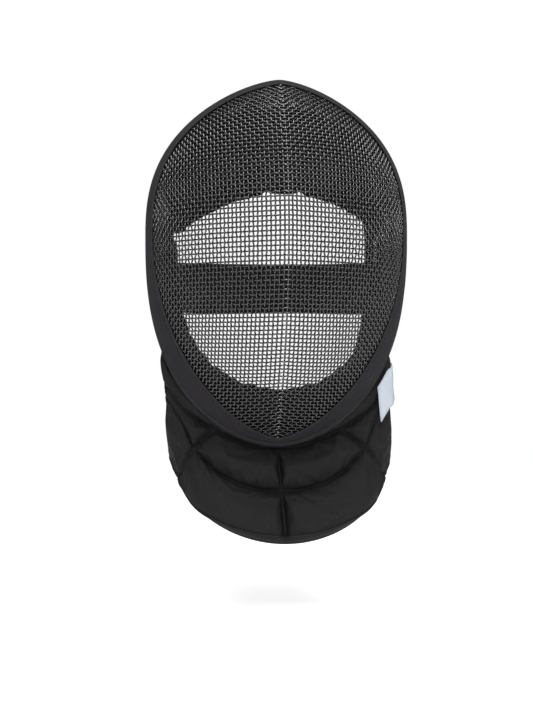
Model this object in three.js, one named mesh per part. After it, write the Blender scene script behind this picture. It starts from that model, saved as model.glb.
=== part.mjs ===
// A fencing mask: domed wire front with a centre ridge, side mesh, cloth trims, a quilted bib,
// inner pads and an elastic back strap.
//
// Millimetres, +Z up. The face looks along -Y and +X is the wearer's left. The origin is the
// point inside the mask where the crown of the head sits.
import * as THREE from 'three';

// ---- driving dimensions -----------------------------------------------------------------

// The rim is the joint of front and side mesh. It is widest at the ears' level.
const WIDEST_Z = -92;
const RIM = { half: 104, up: 120.5, down: 165.5 };
const RIM_POWERS = { upX: 1.5, upZ: 2.6, downX: 1.78, downZ: 2.6 };

// How far forward or back the rim lies at its side, its top and the chin.
const RIM_Y = { side: -25, top: -55, chin: -35 };

// The front mesh reaches furthest forward on its ridge, level with the widest place.
const NOSE_Y = -145;
const RIDGE_SLOPE = 0.47;

// The border of cloth seen from the front, drawn as the mesh's free opening.
const BORDER = { half: 99.5, up: 116.5, down: 160.5 };
const BORDER_POWERS = { upX: 1.5, upZ: 2.6, downX: 1.5, downZ: 2.0 };

// The rear edge of the side mesh, as parts of the rim's own size, and how far back it lies.
const REAR = { half: 0.83, up: 0.84, down: 0.95 };
const REAR_Y = { side: 55, top: 48, chin: -8 };

const MESH_WALL = 2;
const MESH_SEAM = 2.6;
const TRIM = { wall: 1.5, gap: 0.35, sideLeg: 6, rearLeg: 9 };

// The bib hangs from the side mesh, just behind the rim trim. Its along value is 0 at the
// chin, RIM_SHARE where it leaves the rim and 1 at its rear edge; its drop is 0 at the top
// edge and 1 at the hem.
const BIB = {
  behindRim: 10.5, clear: 1.5, rimShare: 0.6, leavesRimH: -94, rearH: -77, rearAlong: 0.9,
  hemHalf: 88, hemReach: 60, hemCentreY: 15, hemTurn: 110, hemZ: -336, hemRise: 68, bulge: 1,
  sway: 6,
};
// Thickness of the bib at its edges, in a quilting seam and between the seams, and how far
// from a seam the padding has risen by two thirds.
const QUILT = { edge: 2, seam: 2.2, full: 7, rise: 8 };
const HEM = { wall: 1.2, gap: 0.35, height: 5 };

// The two quilting seams that follow the rim: how far down the bib they run.
const RIM_SEAMS = [
  { along: 0.0, upper: 0.07, lower: 0.49 },
  { along: 0.2, upper: 0.085, lower: 0.51 },
  { along: 0.31, upper: 0.11, lower: 0.5 },
  { along: 0.43, upper: 0.17, lower: 0.455 },
  { along: 0.5, upper: 0.21, lower: 0.34 },
  { along: 0.6, upper: 0.25, lower: 0.35 },
  { along: 0.8, upper: 0.27, lower: 0.39 },
  { along: 1.0, upper: 0.28, lower: 0.4 },
];
// A slanting seam on each side: it starts on the upper seam and crosses the lower one.
const SLANT = [
  { along: 0.31, drop: 0.11 },
  { along: 0.43, drop: 0.455 },
  { along: 0.56, drop: 0.83 },
  { along: 0.66, drop: 1.0 },
];

// The head that the pads fit: half sizes of an ellipsoid whose top is the origin's level.
const HEAD = { half: 78, depth: 96, height: 92, centreY: 6 };
const CROWN_PAD = { sideTurn: 68, frontTurn: 17, rearTurn: 98, sideExtra: 6, edgeShare: 0.45 };
// Thickness of the crown pad from its front edge (0) over the crown to its rear edge (1).
const CROWN_ROWS = [
  { over: 0, full: 9 },
  { over: 0.04, full: 9 },
  { over: 0.25, full: 11 },
  { over: 0.45, full: 15.5 },
  { over: 0.62, full: 19.5 },
  { over: 0.78, full: 18 },
  { over: 0.96, full: 12.5 },
  { over: 1, full: 12 },
];
const JAW_PAD = {
  wall: 9, clear: 2.5, half: 78, centreZ: -115, down: 99, sideY: -35, chinY: -62, behindRim: 15,
  fromTurn: 6,
};

const STRAP = { topH: -14, bottomH: -60, wall: 2, clear: 2.7, startsAt: 0.72, reach: 36 };
const LABEL = { from: 0.53, to: 0.68, top: 0.06, bottom: 0.38, wall: 0.8, gap: 1.6 };

// Half the rim is cut into this many equal steps, from the crown down to the chin.
const HALF_STEPS = 24;

// ---- small vector helpers ---------------------------------------------------------------

const V = (x, y, z) => new THREE.Vector3(x, y, z);
const moved = (point, direction, distance) => point.clone().addScaledVector(direction, distance);
const mix = (a, b, t) => a + (b - a) * t;
const signedPower = (x, p) => Math.sign(x) * Math.abs(x) ** p;

// ---- the rim and the two mesh surfaces --------------------------------------------------

// A rounded outline about the widest level; angle 0 is at +X and 90 degrees at the crown.
function outline(size, powers, angle) {
  const c = Math.cos(angle);
  const s = Math.sin(angle);
  const up = s >= 0;
  return {
    x: size.half * signedPower(c, 2 / (up ? powers.upX : powers.downX)),
    h: (up ? size.up : size.down) * signedPower(s, 2 / (up ? powers.upZ : powers.downZ)),
  };
}

// How far out along the line from the centre to (x, h) an outline is crossed, as a ratio.
function crossing(size, powers, x, h) {
  const up = h >= 0;
  const px = up ? powers.upX : powers.downX;
  const pz = up ? powers.upZ : powers.downZ;
  const reach = up ? size.up : size.down;
  let low = 0.5;
  let high = 1.2;
  for (let step = 0; step < 40; step += 1) {
    const r = (low + high) / 2;
    const inside = Math.abs(r * x / size.half) ** px + Math.abs(r * h / reach) ** pz < 1;
    if (inside) low = r;
    else high = r;
  }
  return low;
}

function rimDepth(h) {
  const t = h >= 0 ? h / RIM.up : -h / RIM.down;
  return mix(RIM_Y.side, h >= 0 ? RIM_Y.top : RIM_Y.chin, t * t);
}

// The front mesh: r is 0 on the nose point and 1 on the rim. The crown's flanks are round,
// the lower flanks are flatter, and the straight ridge adds the same slope everywhere.
function frontPoint(angle, r) {
  const rim = outline(RIM, RIM_POWERS, angle);
  const side = (rim.x / Math.hypot(rim.x, rim.h)) ** 2;
  const round = rim.h >= 0 ? mix(0.3, 1, side) : side * side;
  const ridge = RIDGE_SLOPE * Math.abs(rim.x);
  const dome = rimDepth(rim.h) - NOSE_Y - ridge;
  const bowl = round * (1 - Math.sqrt(Math.max(0, 1 - r * r))) + (1 - round) * r * r;
  return V(r * rim.x, NOSE_Y + r * ridge + dome * bowl, WIDEST_Z + r * rim.h);
}

// The side mesh: s is 0 on the rim and 1 on the rear edge.
function sidePoint(angle, s) {
  const rim = outline(RIM, RIM_POWERS, angle);
  const t = rim.h >= 0 ? rim.h / RIM.up : -rim.h / RIM.down;
  const rearY = rim.h >= 0 ? mix(REAR_Y.side, REAR_Y.top, t * t)
    : mix(REAR_Y.side, REAR_Y.chin, t ** 1.6);
  const taper = s ** 1.5;
  return V(
    rim.x * mix(1, REAR.half, taper),
    mix(rimDepth(rim.h), rearY, s),
    WIDEST_Z + rim.h * mix(1, rim.h >= 0 ? REAR.up : REAR.down, taper),
  );
}

// The outward normal of a surface given by two numbers.
function normalOf(surface, angle, t) {
  const step = 1e-3;
  const t0 = Math.max(step, Math.min(1 - step, t));
  const along = surface(angle + step, t0).sub(surface(angle - step, t0));
  const across = surface(angle, t0 + step / 2).sub(surface(angle, t0 - step / 2));
  const normal = along.cross(across).normalize();
  const middle = Math.abs(Math.cos(angle)) < 1e-6;
  if (middle) normal.setX(0).normalize();
  return normal;
}
const frontNormal = (angle, r) => normalOf(frontPoint, angle, r).negate();
const sideNormal = (angle, s) => normalOf(sidePoint, angle, s).negate();
const sideLength = (angle) => sidePoint(angle, 0).distanceTo(sidePoint(angle, 1));

// Angles of equal steps along the rim, from the crown down the +X side to the chin and back
// up the other side.
function rimAngles() {
  const fine = 2000;
  const run = [0];
  const angleAt = (i) => Math.PI / 2 - Math.PI * i / fine;
  for (let i = 1; i <= fine; i += 1) {
    run.push(run[i - 1] + frontPoint(angleAt(i - 1), 1).distanceTo(frontPoint(angleAt(i), 1)));
  }
  const half = [];
  let i = 0;
  for (let k = 0; k <= HALF_STEPS; k += 1) {
    while (i < fine && run[i] < run[fine] * k / HALF_STEPS) i += 1;
    half.push(angleAt(k === 0 ? 0 : k === HALF_STEPS ? fine : i));
  }
  const mirrored = half.slice(1, -1).reverse().map((angle) => Math.PI - angle);
  return [...half, ...mirrored];
}
const ANGLES = rimAngles();

// ---- closed walls from grids of points --------------------------------------------------

// Joins an outer and an inner grid of points into one closed wall. Each grid is a list of
// rows; loop says that a row closes on itself, and tip that the first row is one point.
function wall(outer, inner, { loop = false, tip = false } = {}) {
  const rows = outer.length;
  const cols = outer[0].length;
  const points = [];
  const numbers = [outer, inner].map((grid) => grid.map((row, j) => {
    if (tip && j === 0) {
      points.push(row[0]);
      return row.map(() => points.length - 1);
    }
    return row.map((point) => points.push(point) - 1);
  }));
  const index = [];
  const quad = (a, b, c, d) => {
    if (a !== b && b !== c && a !== c) index.push(a, b, c);
    if (a !== c && c !== d && a !== d) index.push(a, c, d);
  };
  const [out, into] = numbers;
  const last = loop ? cols : cols - 1;
  for (let i = 0; i < last; i += 1) {
    const n = (i + 1) % cols;
    for (let j = 0; j + 1 < rows; j += 1) {
      quad(out[j][i], out[j][n], out[j + 1][n], out[j + 1][i]);
      quad(into[j][i], into[j + 1][i], into[j + 1][n], into[j][n]);
    }
    if (!tip) quad(out[0][i], into[0][i], into[0][n], out[0][n]);
    quad(out[rows - 1][i], out[rows - 1][n], into[rows - 1][n], into[rows - 1][i]);
  }
  if (!loop) {
    for (let j = 0; j + 1 < rows; j += 1) {
      quad(out[j][0], out[j + 1][0], into[j + 1][0], into[j][0]);
      quad(out[j][last], into[j][last], into[j + 1][last], out[j + 1][last]);
    }
  }
  return closedGeometry(points, index);
}

// A geometry whose faces are turned to point outwards.
function closedGeometry(points, index) {
  let volume = 0;
  for (let i = 0; i < index.length; i += 3) {
    const [a, b, c] = [0, 1, 2].map((k) => points[index[i + k]]);
    volume += a.dot(b.clone().cross(c));
  }
  const facing = volume >= 0 ? index : index.slice().reverse();
  const geometry = new THREE.BufferGeometry();
  geometry.setAttribute('position', new THREE.Float32BufferAttribute(
    points.flatMap((p) => [p.x, p.y, p.z]), 3));
  geometry.setIndex(facing);
  geometry.computeVertexNormals();
  return geometry;
}

// ---- front mesh, side mesh and their trims ----------------------------------------------

// Where the cloth border starts on the front mesh, for one angle.
function borderAt(angle) {
  const rim = outline(RIM, RIM_POWERS, angle);
  return crossing(BORDER, BORDER_POWERS, rim.x, rim.h);
}

const FRONT_ROWS = [0, 0.18, 0.36, 0.54, 0.7, 0.85, 1];
const BORDER_ROWS = [0, 0.35, 0.65, 0.87, 1];

// The r of every row of the front mesh, for one angle.
function frontRows(angle) {
  const border = borderAt(angle);
  return [
    ...FRONT_ROWS.map((t) => t * border),
    ...BORDER_ROWS.slice(1).map((t) => mix(border, 1, t)),
  ];
}

function frontMesh() {
  const rows = frontRows(0).map((_, j) => ANGLES.map((angle) => {
    const r = frontRows(angle)[j];
    const point = frontPoint(angle, r);
    const normal = j === 0 ? V(0, -1, 0) : frontNormal(angle, r);
    return { point, inner: moved(point, normal, -MESH_WALL) };
  }));
  return wall(rows.map((row) => row.map((cell) => cell.point)),
    rows.map((row) => row.map((cell) => cell.inner)), { loop: true, tip: true });
}

// The places of the side mesh's rows: seam, end of the rim trim's leg, rear trim, rear edge.
function sideRows(angle) {
  const length = sideLength(angle);
  const leg = Math.min(TRIM.sideLeg / length, 0.5);
  const rear = Math.max(1 - TRIM.rearLeg / length, 0.7);
  return [MESH_SEAM / length, leg, mix(leg, rear, 1 / 3), mix(leg, rear, 2 / 3), rear, 1];
}

function sideMesh() {
  const grid = (offset) => sideRows(0).map((_, j) => ANGLES.map((angle) => {
    const s = sideRows(angle)[j];
    return moved(sidePoint(angle, s), sideNormal(angle, s), offset);
  }));
  return wall(grid(0), grid(-MESH_WALL), { loop: true });
}

// The binding lies on the front mesh's border, turns round the rim and runs back on the side.
function rimTrim() {
  const grid = (offset) => {
    const front = BORDER_ROWS.slice(0, -1).map((t) => ANGLES.map((angle) => {
      const r = mix(borderAt(angle), 1, t);
      return moved(frontPoint(angle, r), frontNormal(angle, r), offset);
    }));
    const corner = ANGLES.map((angle) => {
      const normal = frontNormal(angle, 1).add(sideNormal(angle, 0)).normalize();
      const spread = 1 / Math.max(0.6, normal.dot(sideNormal(angle, 0)));
      return moved(frontPoint(angle, 1), normal, offset * spread);
    });
    const back = ANGLES.map((angle) => {
      const s = sideRows(angle)[1];
      return moved(sidePoint(angle, s), sideNormal(angle, s), offset);
    });
    return [...front, corner, back];
  };
  return wall(grid(TRIM.gap + TRIM.wall), grid(TRIM.gap), { loop: true });
}

// The rear binding folds over the rear edge of the side mesh, outside and inside.
function rearTrim() {
  const strip = (far) => {
    const place = (angle, j, offset) => {
      const s = sideRows(angle)[j];
      return moved(sidePoint(angle, s), sideNormal(angle, s), offset);
    };
    const back = (angle) => sidePoint(angle, 1).sub(sidePoint(angle, 0.97)).normalize();
    const off = TRIM.gap + (far ? TRIM.wall : 0);
    const end = (angle, offset) => moved(place(angle, 5, offset), back(angle), off);
    return [
      ANGLES.map((angle) => place(angle, 4, off)),
      ANGLES.map((angle) => end(angle, off)),
      ANGLES.map((angle) => end(angle, -MESH_WALL - off)),
      ANGLES.map((angle) => place(angle, 4, -MESH_WALL - off)),
    ];
  };
  return wall(strip(true), strip(false), { loop: true });
}

// ---- bib --------------------------------------------------------------------------------

// The rim angle on the +X side whose rim lies at height h above the widest level.
function angleAtHeight(h) {
  const t = Math.abs(h) / (h >= 0 ? RIM.up : RIM.down);
  return Math.sign(h) * Math.asin(t ** ((h >= 0 ? RIM_POWERS.upZ : RIM_POWERS.downZ) / 2));
}

// The top edge of the bib's inner face: along the rim, then back over the side mesh.
function bibTop(along) {
  const side = Math.sign(along) || 1;
  const share = Math.abs(along) / BIB.rimShare;
  const leaves = angleAtHeight(BIB.leavesRimH);
  let angle = mix(-Math.PI / 2, leaves, share);
  let behind = BIB.behindRim / sideLength(angle);
  if (share > 1) {
    const t = (Math.abs(along) - BIB.rimShare) / (1 - BIB.rimShare);
    angle = mix(leaves, angleAtHeight(BIB.rearH), t);
    behind = mix(BIB.behindRim / sideLength(leaves), BIB.rearAlong, t);
  }
  if (side < 0) angle = Math.PI - angle;
  const clear = mix(BIB.clear, STRAP.clear, Math.max(0, (Math.abs(along) - 0.85) / 0.15));
  return moved(sidePoint(angle, behind), sideNormal(angle, behind), clear);
}

function bibHem(along) {
  const turn = THREE.MathUtils.degToRad(BIB.hemTurn * along);
  return V(
    BIB.hemHalf * signedPower(Math.sin(turn), 0.9) + BIB.sway,
    BIB.hemCentreY - BIB.hemReach * Math.cos(turn),
    BIB.hemZ + BIB.hemRise * (1 - Math.cos(turn)) ** 0.9,
  );
}

// The inner face of the bib, bulging a little between its edges.
function bibPoint(along, drop) {
  const turn = THREE.MathUtils.degToRad(BIB.hemTurn * along);
  const point = bibTop(along).lerp(bibHem(along), drop);
  const bulge = BIB.bulge * Math.sin(Math.PI * Math.min(1, drop)) ** 0.8;
  return moved(point, V(Math.sin(turn), -Math.cos(turn), 0), bulge);
}

function bibNormal(along, drop) {
  const step = 0.01;
  const across = bibPoint(along + step, drop).sub(bibPoint(along - step, drop));
  const down = bibPoint(along, Math.min(1, drop + step)).sub(bibPoint(along, Math.max(0, drop - step)));
  return across.cross(down).normalize().negate();
}

function seamDrop(along, which) {
  const at = Math.min(1, Math.abs(along));
  const k = Math.max(1, RIM_SEAMS.findIndex((row) => row.along >= at));
  const [a, b] = [RIM_SEAMS[k - 1], RIM_SEAMS[k]];
  return mix(a[which], b[which], (at - a.along) / (b.along - a.along));
}

// Distance in millimetres from a place on the bib to the nearest quilting seam.
const BIB_SPAN = { along: 185, drop: 92 };
function seamDistance(along, drop) {
  const at = Math.abs(along);
  const toRow = (which) => Math.abs(drop - seamDrop(at, which)) * BIB_SPAN.drop;
  const toCentre = drop > seamDrop(0, 'upper') ? at * BIB_SPAN.along : Infinity;
  const toSlant = SLANT.slice(1).map((end, k) => {
    const start = SLANT[k];
    const run = [(end.along - start.along) * BIB_SPAN.along, (end.drop - start.drop) * BIB_SPAN.drop];
    const here = [(at - start.along) * BIB_SPAN.along, (drop - start.drop) * BIB_SPAN.drop];
    const t = (here[0] * run[0] + here[1] * run[1]) / (run[0] ** 2 + run[1] ** 2);
    const clamped = Math.max(0, Math.min(1, t));
    return Math.hypot(here[0] - clamped * run[0], here[1] - clamped * run[1]);
  });
  return Math.min(toRow('upper'), toRow('lower'), toCentre, ...toSlant);
}

// Thickness of the padding: thin at the edges, pinched at each seam.
function bibThickness(along, drop) {
  const toEdge = Math.min(drop, 1 - drop) * BIB_SPAN.drop;
  const toRear = (1 - Math.abs(along)) * BIB_SPAN.along;
  const risen = 1 - Math.exp(-seamDistance(along, drop) / QUILT.rise);
  const edge = 1 - Math.exp(-Math.min(toEdge, toRear) / QUILT.rise);
  return mix(QUILT.edge, mix(QUILT.seam, QUILT.full, risen), edge);
}

// Columns stand closer where the slanting seams run, so that the seams lie on the grid.
const BIB_COLUMNS = [0, 0.08, 0.16, 0.24, 0.31, 0.35, 0.39, 0.43, 0.465, 0.5, 0.56, 0.61, 0.66,
  0.78, 0.9, 1];
const HEM_DROP = 1 - HEM.height / BIB_SPAN.drop;

// The drop of every row of the bib, for one column.
function bibRows(along) {
  const upper = seamDrop(along, 'upper');
  const lower = seamDrop(along, 'lower');
  return [0, upper / 2, upper, mix(upper, lower, 1 / 3), mix(upper, lower, 2 / 3), lower,
    mix(lower, HEM_DROP, 1 / 3), mix(lower, HEM_DROP, 2 / 3), HEM_DROP, 1];
}

const bothSides = (columns) => [...columns.slice(1).reverse().map((a) => -a), ...columns];

function bibGrid(rowsOf, offsetAt) {
  const columns = bothSides(BIB_COLUMNS);
  return rowsOf(0).map((_, j) => columns.map((along) => {
    const drop = rowsOf(along)[j];
    return moved(bibPoint(along, drop), bibNormal(along, drop), offsetAt(along, drop));
  }));
}

const bib = () => wall(bibGrid(bibRows, bibThickness), bibGrid(bibRows, () => 0));

// The hem is folded over the bib's bottom edge.
function bibHemBinding() {
  const strip = (far) => {
    const off = HEM.gap + (far ? HEM.wall : 0);
    const columns = bothSides(BIB_COLUMNS);
    const face = (drop, offset) => columns.map((along) => moved(
      bibPoint(along, drop), bibNormal(along, drop), offset(along, drop)));
    const below = (row) => row.map((point, i) => moved(point,
      bibHem(columns[i]).sub(bibTop(columns[i])).normalize(), off));
    const outside = (along, drop) => bibThickness(along, drop) + off;
    const inside = () => -off;
    return [face(HEM_DROP, outside), below(face(1, outside)), below(face(1, inside)),
      face(HEM_DROP, inside)];
  };
  return wall(strip(true), strip(false));
}

// A cloth label sewn in under the rim trim, lying on the bib.
function sideLabel() {
  const steps = [0, 1, 2, 3, 4, 5].map((k) => k / 5);
  const grid = (extra) => steps.map((j) => steps.map((i) => {
    const along = mix(LABEL.from, LABEL.to, i);
    const drop = mix(LABEL.top, LABEL.bottom, j);
    const padding = mix(QUILT.full, QUILT.edge, Math.exp(-drop * BIB_SPAN.drop / QUILT.rise));
    return moved(bibPoint(along, drop), bibNormal(along, drop), padding + LABEL.gap + extra);
  }));
  return wall(grid(LABEL.wall), grid(0));
}

// ---- pads and strap ---------------------------------------------------------------------

// The crown pad lies on the head from the forehead's arch back over the crown, and fills most
// of the room up to the side mesh.
function crownPad() {
  const across = [...Array(15).keys()].map((i) => mix(-1, 1, i / 14));
  const grid = (isOuter) => CROWN_ROWS.map(({ over: t, full }) => across.map((u) => {
    const sideTurn = THREE.MathUtils.degToRad(CROWN_PAD.sideTurn * u);
    const front = CROWN_PAD.frontTurn * (1 - u * u);
    const turn = THREE.MathUtils.degToRad(mix(front, CROWN_PAD.rearTurn, t));
    const out = V(Math.sin(sideTurn), -Math.cos(sideTurn) * Math.cos(turn),
      Math.cos(sideTurn) * Math.sin(turn));
    const point = V(HEAD.half * out.x, HEAD.centreY + HEAD.depth * out.y,
      HEAD.height * (out.z - 1));
    const normal = V(out.x / HEAD.half, out.y / HEAD.depth, out.z / HEAD.height).normalize();
    const atEdge = Math.min(t, 1 - t, (1 - Math.abs(u)) / 2) < 0.01;
    const thick = (full + CROWN_PAD.sideExtra * u * u) * (atEdge ? CROWN_PAD.edgeShare : 1);
    return moved(point, normal, isOuter ? thick : 0);
  }));
  return wall(grid(true), grid(false));
}

// The jaw pad stands in from the side mesh towards the cheeks and the chin.
function jawPad() {
  const count = 24;
  const turns = [...Array(count + 1).keys()].map((i) => THREE.MathUtils.degToRad(
    mix(JAW_PAD.fromTurn, -180 - JAW_PAD.fromTurn, i / count)));
  const rooted = (angle) => {
    const s = JAW_PAD.behindRim / Math.max(sideLength(angle), 2 * JAW_PAD.behindRim);
    return moved(sidePoint(angle, s), sideNormal(angle, s), -MESH_WALL - JAW_PAD.clear);
  };
  const inner = (angle) => {
    const low = Math.sin(angle);
    return V(JAW_PAD.half * Math.cos(angle),
      mix(JAW_PAD.sideY, JAW_PAD.chinY, low * low),
      JAW_PAD.centreZ + JAW_PAD.down * signedPower(low, 0.85));
  };
  const surface = (angle, t) => rooted(angle).lerp(inner(angle), t);
  const grid = (isOuter) => [0, 0.12, 0.5, 0.88, 1].map((t) => turns.map((angle) => {
    const step = 0.02;
    const along = surface(angle + step, t).sub(surface(angle - step, t));
    const normal = along.cross(surface(angle, 1).sub(surface(angle, 0))).normalize();
    const ends = Math.min(angle - turns[count], turns[0] - angle) < 1e-6;
    const edge = t === 0 || t === 1 || ends ? 0.4 : 1;
    return moved(surface(angle, t), normal, (isOuter ? 0.5 : -0.5) * JAW_PAD.wall * edge);
  }));
  return wall(grid(true), grid(false));
}

// The elastic strap is sewn to both sides of the side mesh and runs round behind the head.
function backStrap() {
  const sideSteps = [0, 0.5, 1].map((t) => mix(STRAP.startsAt, 1, t));
  const arcSteps = 16;
  const edgePath = (h, lift) => {
    const angle = angleAtHeight(h);
    const run = sideSteps.map((s) => moved(sidePoint(angle, s), sideNormal(angle, s), lift));
    const end = run[run.length - 1];
    const arc = [];
    for (let i = 1; i < arcSteps; i += 1) {
      const turn = Math.PI * i / arcSteps;
      const reach = STRAP.reach + lift;
      arc.push(V(end.x * Math.cos(turn), end.y + reach * Math.sin(turn) ** 0.8, end.z));
    }
    const back = run.map((p) => V(-p.x, p.y, p.z)).reverse();
    return [...run, ...arc, ...back];
  };
  const heights = [0, 1 / 3, 2 / 3, 1].map((t) => mix(STRAP.topH, STRAP.bottomH, t));
  const rows = (lift) => heights.map((h) => edgePath(h, lift));
  return wall(rows(STRAP.clear + STRAP.wall), rows(STRAP.clear));
}

// ---- the mask ---------------------------------------------------------------------------

const FINISHES = {
  wire: { color: 0x1b1b1d, roughness: 0.45, metalness: 0.3 },
  trim: { color: 0x2f2d30, roughness: 0.9, metalness: 0 },
  bib: { color: 0x232326, roughness: 0.85, metalness: 0 },
  pad: { color: 0x1d1d20, roughness: 0.95, metalness: 0 },
  strap: { color: 0x18181a, roughness: 0.9, metalness: 0 },
  label: { color: 0xe3e8ee, roughness: 0.8, metalness: 0 },
};

const mask = new THREE.Group();
function add(name, finish, geometry) {
  const mesh = new THREE.Mesh(geometry, new THREE.MeshStandardMaterial(FINISHES[finish]));
  mesh.name = name;
  mask.add(mesh);
}

add('front_mesh', 'wire', frontMesh());
add('side_mesh', 'wire', sideMesh());
add('rim_trim', 'trim', rimTrim());
add('rear_trim', 'trim', rearTrim());
add('bib', 'bib', bib());
add('bib_hem', 'trim', bibHemBinding());
add('crown_pad', 'pad', crownPad());
add('jaw_pad', 'pad', jawPad());
add('back_strap', 'strap', backStrap());
add('side_label', 'label', sideLabel());

export default mask;
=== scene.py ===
"""A fencing mask: woven wire front and sides, bound rims, a quilted bib, inner pads and a strap.

Shapes are worked out in millimetres, as in the CAD model, and turned to metres when a mesh is made.
"""

import math

import bmesh
import bpy
import numpy as np
from mathutils import Matrix, Vector


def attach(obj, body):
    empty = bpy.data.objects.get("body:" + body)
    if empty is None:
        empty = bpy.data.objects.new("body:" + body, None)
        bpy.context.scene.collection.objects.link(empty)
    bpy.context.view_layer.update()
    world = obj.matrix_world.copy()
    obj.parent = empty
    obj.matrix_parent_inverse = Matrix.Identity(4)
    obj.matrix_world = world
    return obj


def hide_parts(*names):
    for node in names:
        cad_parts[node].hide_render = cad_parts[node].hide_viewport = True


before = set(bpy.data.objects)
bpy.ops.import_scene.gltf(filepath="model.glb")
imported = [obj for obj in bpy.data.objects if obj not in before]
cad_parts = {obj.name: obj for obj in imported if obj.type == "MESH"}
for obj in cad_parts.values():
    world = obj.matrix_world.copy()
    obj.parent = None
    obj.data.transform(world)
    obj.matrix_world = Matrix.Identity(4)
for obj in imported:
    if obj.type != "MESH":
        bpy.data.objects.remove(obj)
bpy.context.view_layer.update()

MM = 0.001
SCENE = bpy.context.scene

# ---- the mask's own sizes, in millimetres ------------------------------------------------

WIDEST_Z = -92.0
RIM = {"half": 104.0, "up": 120.5, "down": 165.5}
RIM_POWERS = {"up_x": 1.5, "up_z": 2.6, "down_x": 1.78, "down_z": 2.6}
RIM_Y = {"side": -25.0, "top": -55.0, "chin": -35.0}
NOSE_Y = -145.0
RIDGE_SLOPE = 0.47
BORDER = {"half": 99.5, "up": 116.5, "down": 160.5}
BORDER_POWERS = {"up_x": 1.5, "up_z": 2.6, "down_x": 1.5, "down_z": 2.0}
REAR = {"half": 0.83, "up": 0.84, "down": 0.95}
REAR_Y = {"side": 55.0, "top": 48.0, "chin": -8.0}
MESH_WALL = 2.0

WIRE = {"pitch": 3.67, "diameter": 1.35, "sides": 6, "first_ring": 1.6, "last_share": 0.99}

BIB = {
    "behind_rim": 10.5, "clear": 1.5, "rear_clear": 2.7, "rim_share": 0.6, "leaves_rim_h": -94.0,
    "rear_h": -77.0, "rear_along": 0.9, "hem_half": 88.0, "hem_reach": 60.0, "hem_centre_y": 15.0,
    "hem_turn": 110.0, "hem_z": -336.0, "hem_rise": 68.0, "bulge": 1.0, "sway": 6.0,
}
BIB_SPAN = {"along": 185.0, "drop": 92.0}
BIB_COARSE = (47, 169)
BIB_FINE = (112, 400)
PUFF = {
    "sewn": 1.5, "full": 13.5, "thinner": 8.3, "thin_from": 0.36, "thin_to": 0.56, "reach": 24.0,
    "edge_reach": 14.0, "roundness": 0.72, "middle_scale": 2.4, "middle_shift": 2.2, "groove": 1.3,
    "groove_width": 1.3, "lining_dent": 0.25, "dent_width": 3.0,
}
PUCKER = {"height": 0.22, "from_seam": 4.0, "spread": 5.0}
BIB_RUN = {"start": 0.96, "pinned": 2.2, "pressure": 1.6, "growth": 0.008, "cap": 1.1}
SEAM_ALONG = [0.0, 0.2, 0.31, 0.43, 0.5, 0.6, 0.8, 1.0]
UPPER_SEAM = [0.07, 0.085, 0.11, 0.17, 0.21, 0.25, 0.27, 0.28]
LOWER_SEAM = [0.49, 0.51, 0.5, 0.455, 0.34, 0.35, 0.39, 0.4]
SLANT_SEAM = [(0.31, 0.11), (0.43, 0.455), (0.56, 0.83), (0.66, 1.0)]

HEAD = {"half": 78.0, "depth": 96.0, "height": 92.0, "centre_y": 6.0}
CROWN_PAD = {"side_turn": 74.0, "front_turn": 17.0, "rear_turn": 98.0, "side_extra": 6.0}
CROWN_OVER = [0.0, 0.04, 0.25, 0.45, 0.62, 0.78, 0.96, 1.0]
CROWN_FULL = [9.0, 9.0, 11.0, 15.5, 19.5, 18.0, 12.5, 12.0]
CROWN_EDGE = {"over": 60.0, "across": 40.0, "round": 5.0}
JAW_PAD = {
    "wall": 9.0, "clear": 2.5, "half": 78.0, "centre_z": -115.0, "down": 99.0, "side_y": -35.0,
    "chin_y": -62.0, "behind_rim": 15.0, "from_turn": 6.0,
}
JAW_EDGE = {"over": 30.0, "column": 10.0, "round": 6.0}
THIN_EDGE = 0.4
BEFORE_PUFFING = 0.93
PUFF_VOXEL = 4.2
PAD_RUN = {"pressure": 4, "growth": 0.02}
CLOTH_STEPS = 20
STRAP = {"top_h": -14.0, "bottom_h": -60.0, "wall": 2.0, "clear": 2.7, "starts": 0.72, "reach": 36.0}
LABEL = {
    "from": 0.52, "to": 0.655, "top": 0.09, "bottom": 0.38, "wall": 0.8, "gap": 1.12,
    "at_trim": 2.0, "rise": 8.0, "curl": 0.9, "wave": 0.35, "hem_in": 1.5, "hem_width": 0.5,
}


# ---- small helpers with numbers and points -----------------------------------------------


def mix(a, b, t):
    return a + (b - a) * t


def signed_power(x, power):
    return np.sign(x) * np.abs(x) ** power


def unit(vectors):
    return vectors / np.maximum(np.linalg.norm(vectors, axis=-1, keepdims=True), 1e-12)


def smooth_step(low, high, x):
    t = np.clip((x - low) / (high - low), 0.0, 1.0)
    return t * t * (3 - 2 * t)


def points_of(x, y, z):
    return np.stack(np.broadcast_arrays(x, y, z), axis=-1).astype(float)


def run_along(path):
    """How far along a line of points each of them lies."""
    steps = np.linalg.norm(np.diff(path, axis=0), axis=1)
    return np.concatenate([[0], np.cumsum(steps)])


def lifted(place, normal, lift):
    """Points raised off a surface, by one lift or by one for each point."""
    return place + normal * np.broadcast_to(lift, normal.shape[:1])[:, None]


# ---- the rim and the two mesh surfaces ---------------------------------------------------


def outline_at(size, powers, angle):
    """x and height above the widest level; angle 0 is at +X and 90 degrees at the crown."""
    across, rise = np.cos(angle), np.sin(angle)
    up = rise >= 0
    power_x = np.where(up, powers["up_x"], powers["down_x"])
    power_z = np.where(up, powers["up_z"], powers["down_z"])
    reach = np.where(up, size["up"], size["down"])
    return size["half"] * signed_power(across, 2 / power_x), reach * signed_power(rise, 2 / power_z)


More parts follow.
